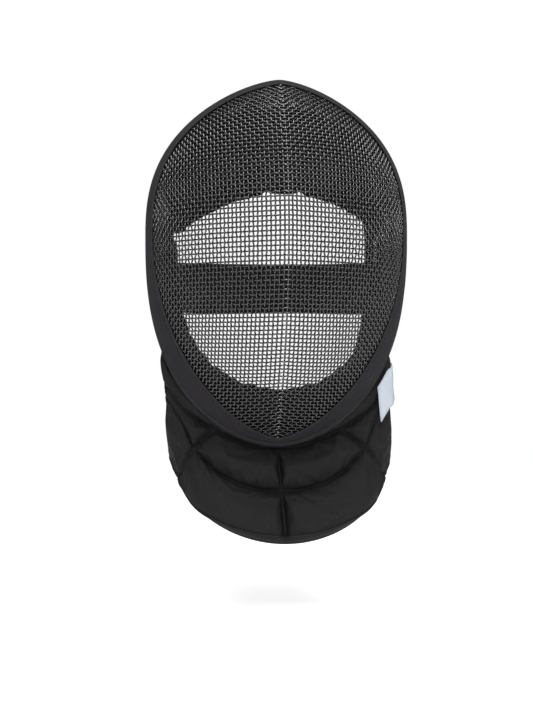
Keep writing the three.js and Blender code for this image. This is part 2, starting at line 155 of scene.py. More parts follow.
def share_of_outline(size, powers, x, h):
    """How far (x, h) lies from the outline's centre: 1 is on the outline itself."""
    up = h >= 0
    power_x = np.where(up, powers["up_x"], powers["down_x"])
    power_z = np.where(up, powers["up_z"], powers["down_z"])
    reach = np.where(up, size["up"], size["down"])
    part_x = np.maximum(np.abs(x) / size["half"], 1e-7) ** power_x
    part_h = np.maximum(np.abs(h) / reach, 1e-7) ** power_z
    log_k = np.minimum(-np.log(part_x) / power_x, -np.log(part_h) / power_z)
    for _ in range(14):
        grown_x = part_x * np.exp(power_x * log_k)
        grown_h = part_h * np.exp(power_z * log_k)
        log_k = log_k - (grown_x + grown_h - 1) / (power_x * grown_x + power_z * grown_h)
    return np.exp(-log_k)


def rim_depth(h):
    t = np.where(h >= 0, h / RIM["up"], -h / RIM["down"])
    return mix(RIM_Y["side"], np.where(h >= 0, RIM_Y["top"], RIM_Y["chin"]), t * t)


def front_from_rim(rim_x, rim_h, r):
    """The front mesh's outer face: r is 0 on the nose point and 1 on the rim."""
    side = (rim_x / np.hypot(rim_x, rim_h)) ** 2
    rounded = np.where(rim_h >= 0, mix(0.3, 1.0, side), side * side)
    ridge = RIDGE_SLOPE * np.abs(rim_x)
    dome = rim_depth(rim_h) - NOSE_Y - ridge
    bowl = rounded * (1 - np.sqrt(np.maximum(0, 1 - r * r))) + (1 - rounded) * r * r
    return points_of(r * rim_x, NOSE_Y + r * ridge + dome * bowl, WIDEST_Z + r * rim_h)


def front_at(angle, r):
    rim_x, rim_h = outline_at(RIM, RIM_POWERS, angle)
    return front_from_rim(rim_x, rim_h, r)


def front_evened(place):
    """The front mesh by a flat place whose steps keep their length right up to the rim."""
    place = np.where(np.abs(place) < 1e-6, 1e-6, place)
    share = share_of_outline(RIM, RIM_POWERS, place[..., 0], place[..., 1])
    r = np.sin(np.minimum(share, 1.0) * np.pi / 2)
    return front_from_rim(place[..., 0] / share, place[..., 1] / share, r)


def side_at(angle, s):
    """The side mesh's outer face: s is 0 on the rim and 1 on the rear edge."""
    rim_x, rim_h = outline_at(RIM, RIM_POWERS, angle)
    up = rim_h >= 0
    t = np.where(up, rim_h / RIM["up"], -rim_h / RIM["down"])
    rear_y = np.where(
        up,
        mix(REAR_Y["side"], REAR_Y["top"], t * t),
        mix(REAR_Y["side"], REAR_Y["chin"], t**1.6),
    )
    taper = np.maximum(s, 0) ** 1.5
    return points_of(
        rim_x * mix(1, REAR["half"], taper),
        mix(rim_depth(rim_h), rear_y, s),
        WIDEST_Z + rim_h * mix(1, np.where(up, REAR["up"], REAR["down"]), taper),
    )


def normal_at(surface, angle, t):
    """The outward normal of front_at or side_at."""
    step = 1e-3
    inside = np.clip(t, step, 1 - step)
    along = surface(angle + step, inside) - surface(angle - step, inside)
    across = surface(angle, inside + step / 2) - surface(angle, inside - step / 2)
    normal = -np.cross(along, across)
    normal[..., 0] = np.where(np.abs(np.cos(angle)) < 1e-6, 0.0, normal[..., 0])
    return unit(normal)


def side_length(angle):
    return np.linalg.norm(side_at(angle, np.ones_like(angle)) - side_at(angle, 0 * angle), axis=-1)


def border_at(angle):
    """The r at which the cloth border starts on the front mesh."""
    rim_x, rim_h = outline_at(RIM, RIM_POWERS, angle)
    return 1 / share_of_outline(BORDER, BORDER_POWERS, rim_x, rim_h)


def rim_angles(count):
    """Angles of equal steps round the rim, from the crown down the +X side and up the other."""
    fine = np.pi / 2 - np.linspace(0, np.pi, 4001)
    path = front_at(fine, np.ones_like(fine))
    run = run_along(path)
    half = np.interp(np.linspace(0, run[-1], count // 2 + 1), run, fine)
    return np.concatenate([half, (np.pi - half[1:-1])[::-1]])


RIM_LENGTH = 2 * run_along(front_at(np.linspace(-np.pi / 2, np.pi / 2, 2000), np.ones(2000)))[-1]


# ---- meshes from grids of points ---------------------------------------------------------


def grid_faces(rows, cols, close_rows=False, close_cols=False, first=0):
    """Four-sided faces over a grid of numbered points; a closed way joins its end to its start."""
    j = np.arange(rows if close_rows else rows - 1)
    i = np.arange(cols if close_cols else cols - 1)
    jj, ii = np.meshgrid(j, i, indexing="ij")
    next_j, next_i = (jj + 1) % rows, (ii + 1) % cols
    corners = [jj * cols + ii, jj * cols + next_i, next_j * cols + next_i, next_j * cols + ii]
    return np.stack(corners, axis=-1).reshape(-1, 4) + first


def shell_faces(rows, cols, close_cols=False):
    """Faces of a closed wall whose outer grid of points is followed by its inner grid."""
    outer = grid_faces(rows, cols, close_cols=close_cols)
    inner = grid_faces(rows, cols, close_cols=close_cols, first=rows * cols)[:, ::-1]
    numbers = np.arange(rows * cols).reshape(rows, cols)
    walls = []
    edges = [(numbers[0][::-1], close_cols), (numbers[-1], close_cols)]
    if not close_cols:
        edges += [(numbers[:, 0], False), (numbers[:, -1][::-1], False)]
    for edge, closed in edges:
        after = np.roll(edge, -1) if closed else edge[1:]
        before = edge if closed else edge[:-1]
        walls.append(np.stack([after, before, before + rows * cols, after + rows * cols], axis=-1))
    return np.concatenate([outer, inner, *walls])


def mesh_from(name, points, faces, laid=None, marks=None):
    """A smooth mesh with its faces turned outwards. laid gives each point's place on the flat
    cloth in millimetres, and marks are named numbers kept on the points."""
    mesh = bpy.data.meshes.new(name)
    faces = faces if isinstance(faces, list) else faces.tolist()
    mesh.from_pydata((np.asarray(points).reshape(-1, 3) * MM).tolist(), [], faces)
    for mark, values in (marks or {}).items():
        layer = mesh.attributes.new(mark, "FLOAT", "POINT")
        layer.data.foreach_set("value", np.asarray(values, np.float32).reshape(-1))
    if laid is not None:
        corners = np.zeros(len(mesh.loops), np.int64)
        mesh.loops.foreach_get("vertex_index", corners)
        layer = mesh.uv_layers.new(name="Cloth")
        layer.data.foreach_set("uv", (np.asarray(laid).reshape(-1, 2)[corners] * MM).reshape(-1))
    work = bmesh.new()
    work.from_mesh(mesh)
    bmesh.ops.recalc_face_normals(work, faces=work.faces)
    work.to_mesh(mesh)
    work.free()
    mesh.shade_smooth()
    return mesh


def object_from(name, mesh, material=None):
    piece = bpy.data.objects.new(name, mesh)
    SCENE.collection.objects.link(piece)
    if material is not None:
        mesh.materials.clear()
        mesh.materials.append(material)
    return piece


def folded_strip(name, ring, seam, fold, along, material, closed=True):
    """A binding: sections of a folded strip, each closed into a ring, one after another."""
    count, across = ring.shape[:2]
    faces = grid_faces(count, across, close_rows=closed, close_cols=True).tolist()
    if not closed:
        faces.append(list(range(across)))
        faces.append(list(range((count - 1) * across, count * across))[::-1])
    run = run_along(ring.mean(axis=0))
    laid = points_of(along[:, None], run[None, :], 0.0)[..., :2]
    marks = {"seam": np.repeat([seam], count, 0), "fold": np.repeat([fold], count, 0)}
    return object_from(name, mesh_from(name, ring, faces, laid, marks), material)


def cloth_wall(name, outer, inner, laid, seam, material, seam_inside=1.0):
    """A closed wall of cloth between two grids of points, laid flat the same way on both."""
    points = np.concatenate([outer.reshape(-1, 3), inner.reshape(-1, 3)])
    seam = seam.reshape(-1)
    marks = {"seam": np.concatenate([seam, seam * seam_inside]), "fold": np.zeros(2 * len(seam))}
    laid = np.concatenate([laid.reshape(-1, 2)] * 2)
    mesh = mesh_from(name, points, shell_faces(*outer.shape[:2]), laid, marks)
    return object_from(name, mesh, material)


def apply_modifiers(piece):
    """Turns a piece's modifiers into its own mesh."""
    graph = bpy.context.evaluated_depsgraph_get()
    made = bpy.data.meshes.new_from_object(piece.evaluated_get(graph), depsgraph=graph)
    piece.modifiers.clear()
    old = piece.data
    piece.data = made
    bpy.data.meshes.remove(old)
    made.name = piece.name


def subdivide(piece, levels):
    modifier = piece.modifiers.new("Round", "SUBSURF")
    modifier.levels = levels
    modifier.render_levels = levels
    apply_modifiers(piece)


def vertices_of(mesh):
    flat = np.zeros(len(mesh.vertices) * 3)
    mesh.vertices.foreach_get("co", flat)
    return flat.reshape(-1, 3)


def put_vertices(mesh, points):
    mesh.vertices.foreach_set("co", np.asarray(points, float).reshape(-1))
    mesh.update()


def settled_vertices(piece):
    """Where a cloth run leaves a piece's points; the scene then goes back to its first frame."""
    for step in range(1, CLOTH_STEPS + 1):
        SCENE.frame_set(step)
    graph = bpy.context.evaluated_depsgraph_get()
    settled = vertices_of(piece.evaluated_get(graph).data)
    SCENE.frame_set(1)
    return settled


def moved_at_most(start, settled, cap):
    """Points moved towards where they settled, each by no more than the cap."""
    move = settled - start
    size = np.linalg.norm(move, axis=1, keepdims=True)
    return start + move * np.minimum(1.0, cap / np.maximum(size, 1e-9))


# ---- node trees: small helpers -----------------------------------------------------------


def new_node(tree, kind, inputs=None, **settings):
    node = tree.nodes.new(kind)
    for key, value in settings.items():
        setattr(node, key, value)
    for key, value in (inputs or {}).items():
        if isinstance(value, bpy.types.NodeSocket):
            tree.links.new(value, node.inputs[key])
        else:
            node.inputs[key].default_value = value
    return node


def math_node(tree, operation, *values, clamp=False):
    node = new_node(tree, "ShaderNodeMath", dict(enumerate(values)), operation=operation)
    node.use_clamp = clamp
    return node.outputs[0]


def between(tree, value, low, high, to_low=0.0, to_high=1.0):
    """A value spread smoothly from one range to another."""
    node = new_node(tree, "ShaderNodeMapRange", interpolation_type="SMOOTHSTEP")
    tree.links.new(value, node.inputs["Value"])
    for key, number in (("From Min", low), ("From Max", high), ("To Min", to_low), ("To Max", to_high)):
        node.inputs[key].default_value = number
    return node.outputs["Result"]


def blend_colours(tree, amount, first, second, how="MIX"):
    node = new_node(tree, "ShaderNodeMix", data_type="RGBA", blend_type=how)
    for key, value in ((0, amount), (6, first), (7, second)):
        if isinstance(value, bpy.types.NodeSocket):
            tree.links.new(value, node.inputs[key])
        else:
            node.inputs[key].default_value = value
    return node.outputs[2]


def open_group(name, kind, inputs, outputs):
    """A node group with named inputs and outputs; each is (name, socket type, default)."""
    group = bpy.data.node_groups.new(name, kind)
    for label, socket_type, default in inputs:
        socket = group.interface.new_socket(label, in_out="INPUT", socket_type=socket_type)
        if default is not None:
            socket.default_value = default
    for label, socket_type in outputs:
        group.interface.new_socket(label, in_out="OUTPUT", socket_type=socket_type)
    return group, group.nodes.new("NodeGroupInput").outputs, group.nodes.new("NodeGroupOutput").inputs


FLOAT, VECTOR, COLOUR = "NodeSocketFloat", "NodeSocketVector", "NodeSocketColor"


# ---- shader groups shared by the finishes ------------------------------------------------


def build_weave_group():
    """Over-and-under threads on flat cloth, with uneven yarn."""
    tree, given, out = open_group(
        "Woven threads", "ShaderNodeTree",
        [("Place", VECTOR, None), ("Threads per metre", FLOAT, 1800.0), ("Unevenness", FLOAT, 0.4)],
        [("Height", FLOAT), ("Shade", FLOAT)],
    )
    scaled = new_node(tree, "ShaderNodeVectorMath", {0: given["Place"]}, operation="SCALE")
    tree.links.new(given["Threads per metre"], scaled.inputs["Scale"])
    parts = new_node(tree, "ShaderNodeSeparateXYZ", {0: scaled.outputs[0]})
    waves, cells = [], []
    for axis in ("X", "Y"):
        turned = math_node(tree, "MULTIPLY", parts.outputs[axis], math.pi)
        waves.append(math_node(tree, "ABSOLUTE", math_node(tree, "SINE", turned)))
        cells.append(math_node(tree, "FLOOR", parts.outputs[axis]))
    parity = math_node(tree, "PINGPONG", math_node(tree, "ADD", cells[0], cells[1]), 1.0)
    woven = new_node(tree, "ShaderNodeMix", {0: parity, 2: waves[0], 3: waves[1]}, data_type="FLOAT")
    yarn = new_node(tree, "ShaderNodeTexNoise", {"Vector": scaled.outputs[0], "Scale": 0.12, "Detail": 3.0})
    uneven = math_node(tree, "MULTIPLY", yarn.outputs["Fac"], given["Unevenness"])
    tree.links.new(math_node(tree, "ADD", woven.outputs[0], uneven), out["Height"])
    shade = math_node(tree, "MULTIPLY_ADD", woven.outputs[0], 0.35, 0.75)
    tree.links.new(math_node(tree, "ADD", shade, math_node(tree, "MULTIPLY", uneven, 0.4)), out["Shade"])
    return tree


def build_handling_group():
    """Soft patches where cloth or paint is handled, with dust and lint on top."""
    tree, given, out = open_group(
        "Handling and lint", "ShaderNodeTree",
        [
            ("Place", VECTOR, None), ("Patch size", FLOAT, 0.02), ("Patch strength", FLOAT, 0.2),
            ("Lint", FLOAT, 0.1),
        ],
        [("Patches", FLOAT), ("Lint", FLOAT)],
    )
    scale = math_node(tree, "DIVIDE", 1.0, given["Patch size"])
    noise = new_node(tree, "ShaderNodeTexNoise", {"Vector": given["Place"], "Scale": scale, "Detail": 4.0})
    spread = between(tree, noise.outputs["Fac"], 0.3, 0.7, -1.0, 1.0)
    patches = math_node(tree, "MULTIPLY_ADD", spread, given["Patch strength"], 1.0)
    tree.links.new(patches, out["Patches"])
    specks = new_node(tree, "ShaderNodeTexNoise", {"Vector": given["Place"], "Scale": 900.0, "Detail": 2.0})
    sharp = between(tree, specks.outputs["Fac"], 0.66, 0.76)
    tree.links.new(math_node(tree, "MULTIPLY", sharp, given["Lint"]), out["Lint"])
    return tree


def build_seam_group():
    """Painted shade in the groove beside a seam, darkening the cloth towards near black, and lighter cloth
    along a fold, from a 0 to 1 mark on the points.
    """
    tree, given, out = open_group(
        "Seam shading", "ShaderNodeTree",
        [("Colour", COLOUR, (0.03, 0.03, 0.03, 1)), ("Seam", FLOAT, 0.0), ("Fold", FLOAT, 0.0),
         ("Seam depth", FLOAT, 0.5), ("Fold wear", FLOAT, 0.5)],
        [("Colour", COLOUR)],
    )
    # painted shade: a near-black colour mixed in along the seam mark
    darker = math_node(tree, "MULTIPLY", given["Seam"], given["Seam depth"], clamp=True)
    seam_shaded = blend_colours(tree, darker, given["Colour"], (0.0015, 0.0015, 0.002, 1))
    lighter = math_node(tree, "MULTIPLY", given["Fold"], given["Fold wear"], clamp=True)
    lightened = blend_colours(tree, lighter, seam_shaded, (0.05, 0.047, 0.05, 1))
    tree.links.new(lightened, out["Colour"])
    return tree


WEAVE = build_weave_group()
HANDLING = build_handling_group()
SEAM_SHADING = build_seam_group()


# ---- finishes ----------------------------------------------------------------------------


def open_material(name):
    material = bpy.data.materials.new(name)
    material.use_nodes = True
    tree = material.node_tree
    return material, tree, tree.nodes["Principled BSDF"]


def use_group(tree, group, **inputs):
    node = new_node(tree, "ShaderNodeGroup", node_tree=group)
    for label, value in inputs.items():
        socket = node.inputs[label.replace("_", " ")]
        if isinstance(value, bpy.types.NodeSocket):
            tree.links.new(value, socket)
        else:
            socket.default_value = value
    return node.outputs


def tint(tree, colour, factor):
    """A colour made lighter or darker by a factor."""
    scaled = new_node(tree, "ShaderNodeVectorMath", {0: colour}, operation="SCALE")
    tree.links.new(factor, scaled.inputs["Scale"])
    return scaled.outputs[0]


def mark_value(tree, name):
    return new_node(tree, "ShaderNodeAttribute", attribute_name=name).outputs["Fac"]


def add_bump(tree, shader, height, strength, distance):
    given = {"Height": height, "Strength": strength, "Distance": distance}
    bump = new_node(tree, "ShaderNodeBump", given)
    tree.links.new(bump.outputs[0], shader.inputs["Normal"])


def black_wire_finish():
    """Black paint baked on steel wire, thinned by rubbing on the highest bends; these are made lighter grey
    both for that wear and as a painted highlight on the crossing tops.
    """
    material, tree, shader = open_material("Black painted wire")
    place = new_node(tree, "ShaderNodeTexCoord").outputs["Object"]
    handling = use_group(tree, HANDLING, Place=place, Patch_size=0.03, Patch_strength=0.25, Lint=0.25)
    fine = new_node(tree, "ShaderNodeTexNoise", {"Vector": place, "Scale": 420.0, "Detail": 3.0})
    # Lighter crossing tops: paint rubbed thin, and partly a painted highlight where the wire passes outside.
    crown = between(tree, mark_value(tree, "crown"), 0.6, 1.0)
    rubbed_and_glint = math_node(tree, "MULTIPLY", crown, between(tree, fine.outputs["Fac"], 0.5, 0.75))
    painted = tint(tree, (0.0042, 0.0041, 0.0044), handling["Patches"])
    lightened = math_node(tree, "MULTIPLY", rubbed_and_glint, 0.25)
    colour = blend_colours(tree, lightened, painted, (0.06, 0.055, 0.048, 1))
    tree.links.new(colour, shader.inputs["Base Color"])
    rough = math_node(tree, "MULTIPLY_ADD", fine.outputs["Fac"], 0.14, 0.16)
    tree.links.new(rough, shader.inputs["Roughness"])
    add_bump(tree, shader, fine.outputs["Fac"], 0.08, 0.0002)
    shader.inputs["Specular IOR Level"].default_value = 1.0
    return material


def cloth_finish(name, colour, threads, depth, rough, sheen, patches, has_cloth_map=True, lint=0.2,
                 seam_shade=0.7, fold_lightening=0.35):
    """Woven cloth: threads, handled patches, lint, painted shade along its seams and lighter colour along its
    folds.
    """
    material, tree, shader = open_material(name)
    coords = new_node(tree, "ShaderNodeTexCoord").outputs
    on_object = coords["Object"]
    on_cloth = coords["UV"] if has_cloth_map else on_object
    weave = use_group(tree, WEAVE, Place=on_cloth, Threads_per_metre=threads, Unevenness=0.5)
    handling = use_group(tree, HANDLING, Place=on_object, Patch_size=0.025, Patch_strength=patches, Lint=lint)
    shaded = tint(tree, colour, math_node(tree, "MULTIPLY", weave["Shade"], handling["Patches"]))
    dusty = blend_colours(tree, handling["Lint"], shaded, (0.16, 0.155, 0.15, 1))
    edges = use_group(
        tree, SEAM_SHADING, Colour=dusty, Seam=mark_value(tree, "seam"), Fold=mark_value(tree, "fold"),
        Seam_depth=seam_shade, Fold_wear=fold_lightening,
    )
    tree.links.new(edges["Colour"], shader.inputs["Base Color"])
    roughness = math_node(tree, "MULTIPLY_ADD", handling["Patches"], 0.1, rough - 0.1)
    tree.links.new(roughness, shader.inputs["Roughness"])
    add_bump(tree, shader, weave["Height"], 0.6, depth)
    shader.inputs["Sheen Weight"].default_value = sheen
    shader.inputs["Sheen Roughness"].default_value = 0.5
    shader.inputs["Specular IOR Level"].default_value = 0.2
    return material


def thread_finish(name, colour):
    """Twisted polyester sewing thread."""
    material, tree, shader = open_material(name)
    place = new_node(tree, "ShaderNodeTexCoord").outputs["Object"]
    twist = new_node(tree, "ShaderNodeTexWave", {"Vector": place, "Scale": 900.0, "Distortion": 2.0})
    shade = math_node(tree, "MULTIPLY_ADD", twist.outputs["Fac"], 0.5, 0.7)
    tree.links.new(tint(tree, colour, shade), shader.inputs["Base Color"])
    add_bump(tree, shader, twist.outputs["Fac"], 0.4, 0.0001)
    shader.inputs["Roughness"].default_value = 0.7
    shader.inputs["Sheen Weight"].default_value = 0.05
    return material


BLACK_WIRE = black_wire_finish()
TRIM_CLOTH = cloth_finish("Charcoal binding", (0.0118, 0.0104, 0.0128), 1500.0, 0.00025, 0.85, 0.02, 0.18)
BIB_CLOTH = cloth_finish("Black bib cloth", (0.0053, 0.0053, 0.0064), 2600.0, 0.00012, 0.62, 0.0, 0.12)
PAD_CLOTH = cloth_finish(
    "Black liner cloth", (0.0045, 0.0045, 0.0052), 1400.0, 0.0003, 0.95, 0.0, 0.2, has_cloth_map=False
)
ELASTIC = cloth_finish("Black ribbed elastic", (0.009, 0.009, 0.010), 1300.0, 0.0003, 0.8, 0.05, 0.15)
LABEL_CLOTH = cloth_finish(
    "White satin label", (0.42, 0.465, 0.52), 3200.0, 0.0001, 0.5, 0.1, 0.05, lint=0.03,
    seam_shade=0.15, fold_lightening=0.0,
)
BLACK_THREAD = thread_finish("Black sewing thread", (0.009, 0.0085, 0.0095))
WHITE_THREAD = thread_finish("White sewing thread", (0.62, 0.65, 0.7))


# ---- Geometry Nodes: wires and stitches --------------------------------------------------


def end_tree(tree, shape, material, out):
    """Shades the shape smooth, makes its instances real and gives them their finish."""
    smooth = new_node(tree, "GeometryNodeSetShadeSmooth", {"Geometry": shape})
    real = new_node(tree, "GeometryNodeRealizeInstances", {0: smooth.outputs[0]})
    given = {"Geometry": real.outputs[0], "Material": material}
    finish = new_node(tree, "GeometryNodeSetMaterial", given)
    tree.links.new(finish.outputs[0], out)


def build_wire_tree():
    """Rounds each line of a mesh of edges into a wire."""
    tree, given, out = open_group(
        "Round wire", "GeometryNodeTree",
        [
            ("Lines", "NodeSocketGeometry", None), ("Wire diameter", FLOAT, 0.001),
            ("Sides", "NodeSocketInt", 6), ("Finish", "NodeSocketMaterial", None),
        ],
        [("Geometry", "NodeSocketGeometry")],
    )
    curve = new_node(tree, "GeometryNodeMeshToCurve", {0: given["Lines"]})
    radius = math_node(tree, "MULTIPLY", given["Wire diameter"], 0.5)
    ring = new_node(
        tree, "GeometryNodeCurvePrimitiveCircle", {"Resolution": given["Sides"], "Radius": radius},
    )
    tube = new_node(
        tree, "GeometryNodeCurveToMesh",
        {"Curve": curve.outputs[0], "Profile Curve": ring.outputs[0], "Fill Caps": True},
    )
    end_tree(tree, tube.outputs[0], given["Finish"], out["Geometry"])
    return tree


def build_stitch_tree():
    """One rounded stitch on each point, turned by the point's own along and out directions."""
    tree, given, out = open_group(
        "Stitch row", "GeometryNodeTree",
        [
            ("Places", "NodeSocketGeometry", None), ("Stitch length", FLOAT, 0.003),
            ("Thread diameter", FLOAT, 0.0006), ("Finish", "NodeSocketMaterial", None),
        ],
        [("Geometry", "NodeSocketGeometry")],
    )
    along = new_node(tree, "GeometryNodeInputNamedAttribute", {"Name": "along"}, data_type="FLOAT_VECTOR")
    outward = new_node(tree, "GeometryNodeInputNamedAttribute", {"Name": "out"}, data_type="FLOAT_VECTOR")
    turn = new_node(
        tree, "FunctionNodeAxesToRotation", {0: outward.outputs[0], 1: along.outputs[0]},
        primary_axis="Z", secondary_axis="X",
    )
    ball = new_node(tree, "GeometryNodeMeshUVSphere", {"Segments": 6, "Rings": 5, "Radius": 0.5})
    size = new_node(
        tree, "ShaderNodeCombineXYZ",
        {0: given["Stitch length"], 1: given["Thread diameter"], 2: given["Thread diameter"]},
    )
    shaped = new_node(tree, "GeometryNodeTransform", {"Geometry": ball.outputs[0], "Scale": size.outputs[0]})
    placed = new_node(
        tree, "GeometryNodeInstanceOnPoints",
        {"Points": given["Places"], "Instance": shaped.outputs[0], "Rotation": turn.outputs[0]},
    )
    end_tree(tree, placed.outputs[0], given["Finish"], out["Geometry"])
    return tree


WIRE_TREE = build_wire_tree()
STITCH_TREE = build_stitch_tree()


def grown(name, tree, source, sizes):
    """A plain object made by a Geometry Nodes tree from a source mesh."""
    maker = bpy.data.objects.new(name, source)
    SCENE.collection.objects.link(maker)
    modifier = maker.modifiers.new("Maker", "NODES")
    modifier.node_group = tree
    for socket in tree.interface.items_tree:
        if socket.item_type == "SOCKET" and socket.in_out == "INPUT" and socket.name in sizes:
            modifier[socket.identifier] = sizes[socket.name]
    graph = bpy.context.evaluated_depsgraph_get()
    made = bpy.data.meshes.new_from_object(maker.evaluated_get(graph), depsgraph=graph)
    bpy.data.objects.remove(maker)
    bpy.data.meshes.remove(source)
    made.name = name
    return object_from(name, made)


# ---- the wire net of the front mesh ------------------------------------------------------

NET_LIMIT = math.asin(0.99) * 2 / math.pi


def evened_normal(place):
    step = 0.4
    half_x, half_h = np.array([step, 0.0]), np.array([0.0, step])
    across = front_evened(place + half_x) - front_evened(place - half_x)
    up = front_evened(place + half_h) - front_evened(place - half_h)
    return unit(np.cross(across, up))


def equal_steps(direction, pitch):
    """Flat places along a straight line from the nose, a wire pitch apart on the surface."""
    size = RIM["half"] if direction[0] else (RIM["up"] if direction[1] > 0 else RIM["down"])
    fine = np.linspace(0, size * NET_LIMIT, 3000)[:, None] * np.array(direction)[None, :]
    path = front_evened(fine)
    run = run_along(path)
    steps = np.arange(int(run[-1] / pitch) + 1) * pitch
    return np.stack([np.interp(steps, run, fine[:, k]) for k in range(2)], axis=-1)


def net_quarter(level, ridge, pitch):
    """Crossings of the wires on one quarter of the front, each a pitch from its neighbours."""
    places = np.full((len(level), len(ridge), 2), np.nan)
    places[:, 0] = level
    places[0, :] = ridge
    for total in range(2, len(level) + len(ridge) - 1):
        i = np.arange(max(1, total - len(ridge) + 1), min(len(level), total))
        j = total - i
        beside, below, corner = places[i - 1, j], places[i, j - 1], places[i - 1, j - 1]
        known = ~np.isnan(beside[:, 0] + below[:, 0] + corner[:, 0])
        i, j, beside, below, corner = i[known], j[known], beside[known], below[known], corner[known]
        if not len(i):
            continue
        at_beside, at_below = front_evened(beside), front_evened(below)
        place = beside + below - corner

        def misfit(trial):
            here = front_evened(trial)
            return np.stack(
                [
                    np.linalg.norm(here - at_beside, axis=-1) - pitch,
                    np.linalg.norm(here - at_below, axis=-1) - pitch,
                ],
                axis=-1,
            )

        for _ in range(12):
            miss = misfit(place)
            small = 1e-3
            by_x = (misfit(place + np.array([small, 0.0])) - miss) / small
            by_h = (misfit(place + np.array([0.0, small])) - miss) / small
            det = by_x[:, 0] * by_h[:, 1] - by_x[:, 1] * by_h[:, 0]
            det = np.where(np.abs(det) < 1e-6, 1e-6, det)
            move_x = (miss[:, 0] * by_h[:, 1] - miss[:, 1] * by_h[:, 0]) / det
            move_h = (miss[:, 1] * by_x[:, 0] - miss[:, 0] * by_x[:, 1]) / det
            move = np.clip(np.stack([move_x, move_h], axis=-1), -1.5, 1.5)
            place = place - move
        good = np.max(np.abs(misfit(place)), axis=-1) < 0.05
        good &= share_of_outline(RIM, RIM_POWERS, place[:, 0], place[:, 1]) < NET_LIMIT
        good &= (place[:, 0] > 0) & (np.sign(place[:, 1]) == np.sign(ridge[-1, 1]))
        places[i[good], j[good]] = place[good]
    return places


def front_net(pitch):
    """All crossings: an array [column, row] of points and normals, with nan outside the rim."""
    level = equal_steps((1.0, 0.0), pitch)
    upper = net_quarter(level, equal_steps((0.0, 1.0), pitch), pitch)
    lower = net_quarter(level, equal_steps((0.0, -1.0), pitch), pitch)
    right = np.concatenate([lower[:, :0:-1], upper], axis=1)
    points = front_evened(right)
    normals = evened_normal(right)
    normals[0, :, 0] = 0.0
    normals = unit(normals)
    points = points - normals * MESH_WALL / 2
    flip = np.array([-1.0, 1.0, 1.0])
    points = np.concatenate([points[:0:-1] * flip, points])
    normals = np.concatenate([normals[:0:-1] * flip, normals])
    return points, normals


def wires_through(points, normals, over, closed=False):
    """Crimped lines through rows of crossings. over is 1 where the line passes outside its
    partner and -1 inside. Gives points, edges and how far out each point rides."""
    rise = WIRE["diameter"] / 2
    bent = points + normals * (over * rise)[..., None]
    after = np.roll(points, -1, axis=1)
    middle = (points + after) / 2
    if not closed:
        middle[:, -1] = np.nan
    wires, samples = points.shape[0], points.shape[1] * 2
    path = np.stack([bent, middle], axis=2).reshape(wires, samples, 3)
    crown = np.stack([(over + 1) / 2, np.full_like(over, 0.5, dtype=float)], axis=2)
    crown = crown.reshape(wires, samples)
    there = ~np.isnan(path[..., 0])
    numbers = np.arange(wires * samples).reshape(wires, samples)
    joined = there & np.roll(there, -1, axis=1)
    if not closed:
        joined[:, -1] = False
    edges = np.stack([numbers[joined], np.roll(numbers, -1, axis=1)[joined]], axis=-1)
    used = np.unique(edges)
    renumber = np.full(wires * samples, -1)
    renumber[used] = np.arange(len(used))
    return path.reshape(-1, 3)[used], renumber[edges], crown.reshape(-1)[used]


def wire_piece(name, points, normals, over, closed=False):
    path, edges, crown = wires_through(points, normals, over, closed)
    lines = bpy.data.meshes.new(name + "_lines")
    lines.from_pydata((path * MM).tolist(), edges.tolist(), [])
    layer = lines.attributes.new("crown", "FLOAT", "POINT")
    layer.data.foreach_set("value", crown.astype(np.float32))
    sizes = {"Wire diameter": WIRE["diameter"] * MM, "Sides": WIRE["sides"], "Finish": BLACK_WIRE}
    return grown(name, WIRE_TREE, lines, sizes)


def over_and_under(columns, rows):
    """1 at the crossings where the first set of wires passes outside, and -1 at the others."""
    i, j = np.meshgrid(np.arange(columns), np.arange(rows), indexing="ij")
    return np.where((i + j) % 2 == 0, 1.0, -1.0)


def other_way(points, normals, over):
    """The same crossings for the wires that run the other way."""
    return points.transpose(1, 0, 2), normals.transpose(1, 0, 2), -over.T


def make_front_wires():
    points, normals = front_net(WIRE["pitch"])
    columns, rows = points.shape[:2]
    over = over_and_under(columns, rows)
    half = columns // 2
    mid_row = rows // 2
    cross = other_way(points, normals, over)
    return [
        wire_piece("front_upright_wires_right", points[:half], normals[:half], over[:half]),
        wire_piece("front_upright_wires_left", points[half:], normals[half:], over[half:]),
        wire_piece("front_level_wires_lower", *[part[:mid_row] for part in cross]),
        wire_piece("front_level_wires_upper", *[part[mid_row:] for part in cross]),
    ]


def make_side_wires():
    """The band round the sides and crown: rings at even steps from the rim, and wires back."""
    pitch = WIRE["pitch"]
    count = 2 * int(RIM_LENGTH / pitch / 2)
    angles = rim_angles(count)
    length = side_length(angles)
    rings = int(length.max() / pitch)
    distance = WIRE["first_ring"] + np.arange(rings) * pitch
    s = distance[None, :] / length[:, None]
    grid_angle = np.repeat(angles[:, None], rings, axis=1)
    points = side_at(grid_angle, np.minimum(s, 1.0))
    normals = normal_at(side_at, grid_angle, np.minimum(s, 1.0))
    points = points - normals * MESH_WALL / 2
    points[s > WIRE["last_share"]] = np.nan
    over = over_and_under(count, rings)
    return [
        wire_piece("side_wires_back", points, normals, over),
        wire_piece("side_wires_round", *other_way(points, normals, over), closed=True),
    ]


# ---- stitches ----------------------------------------------------------------------------


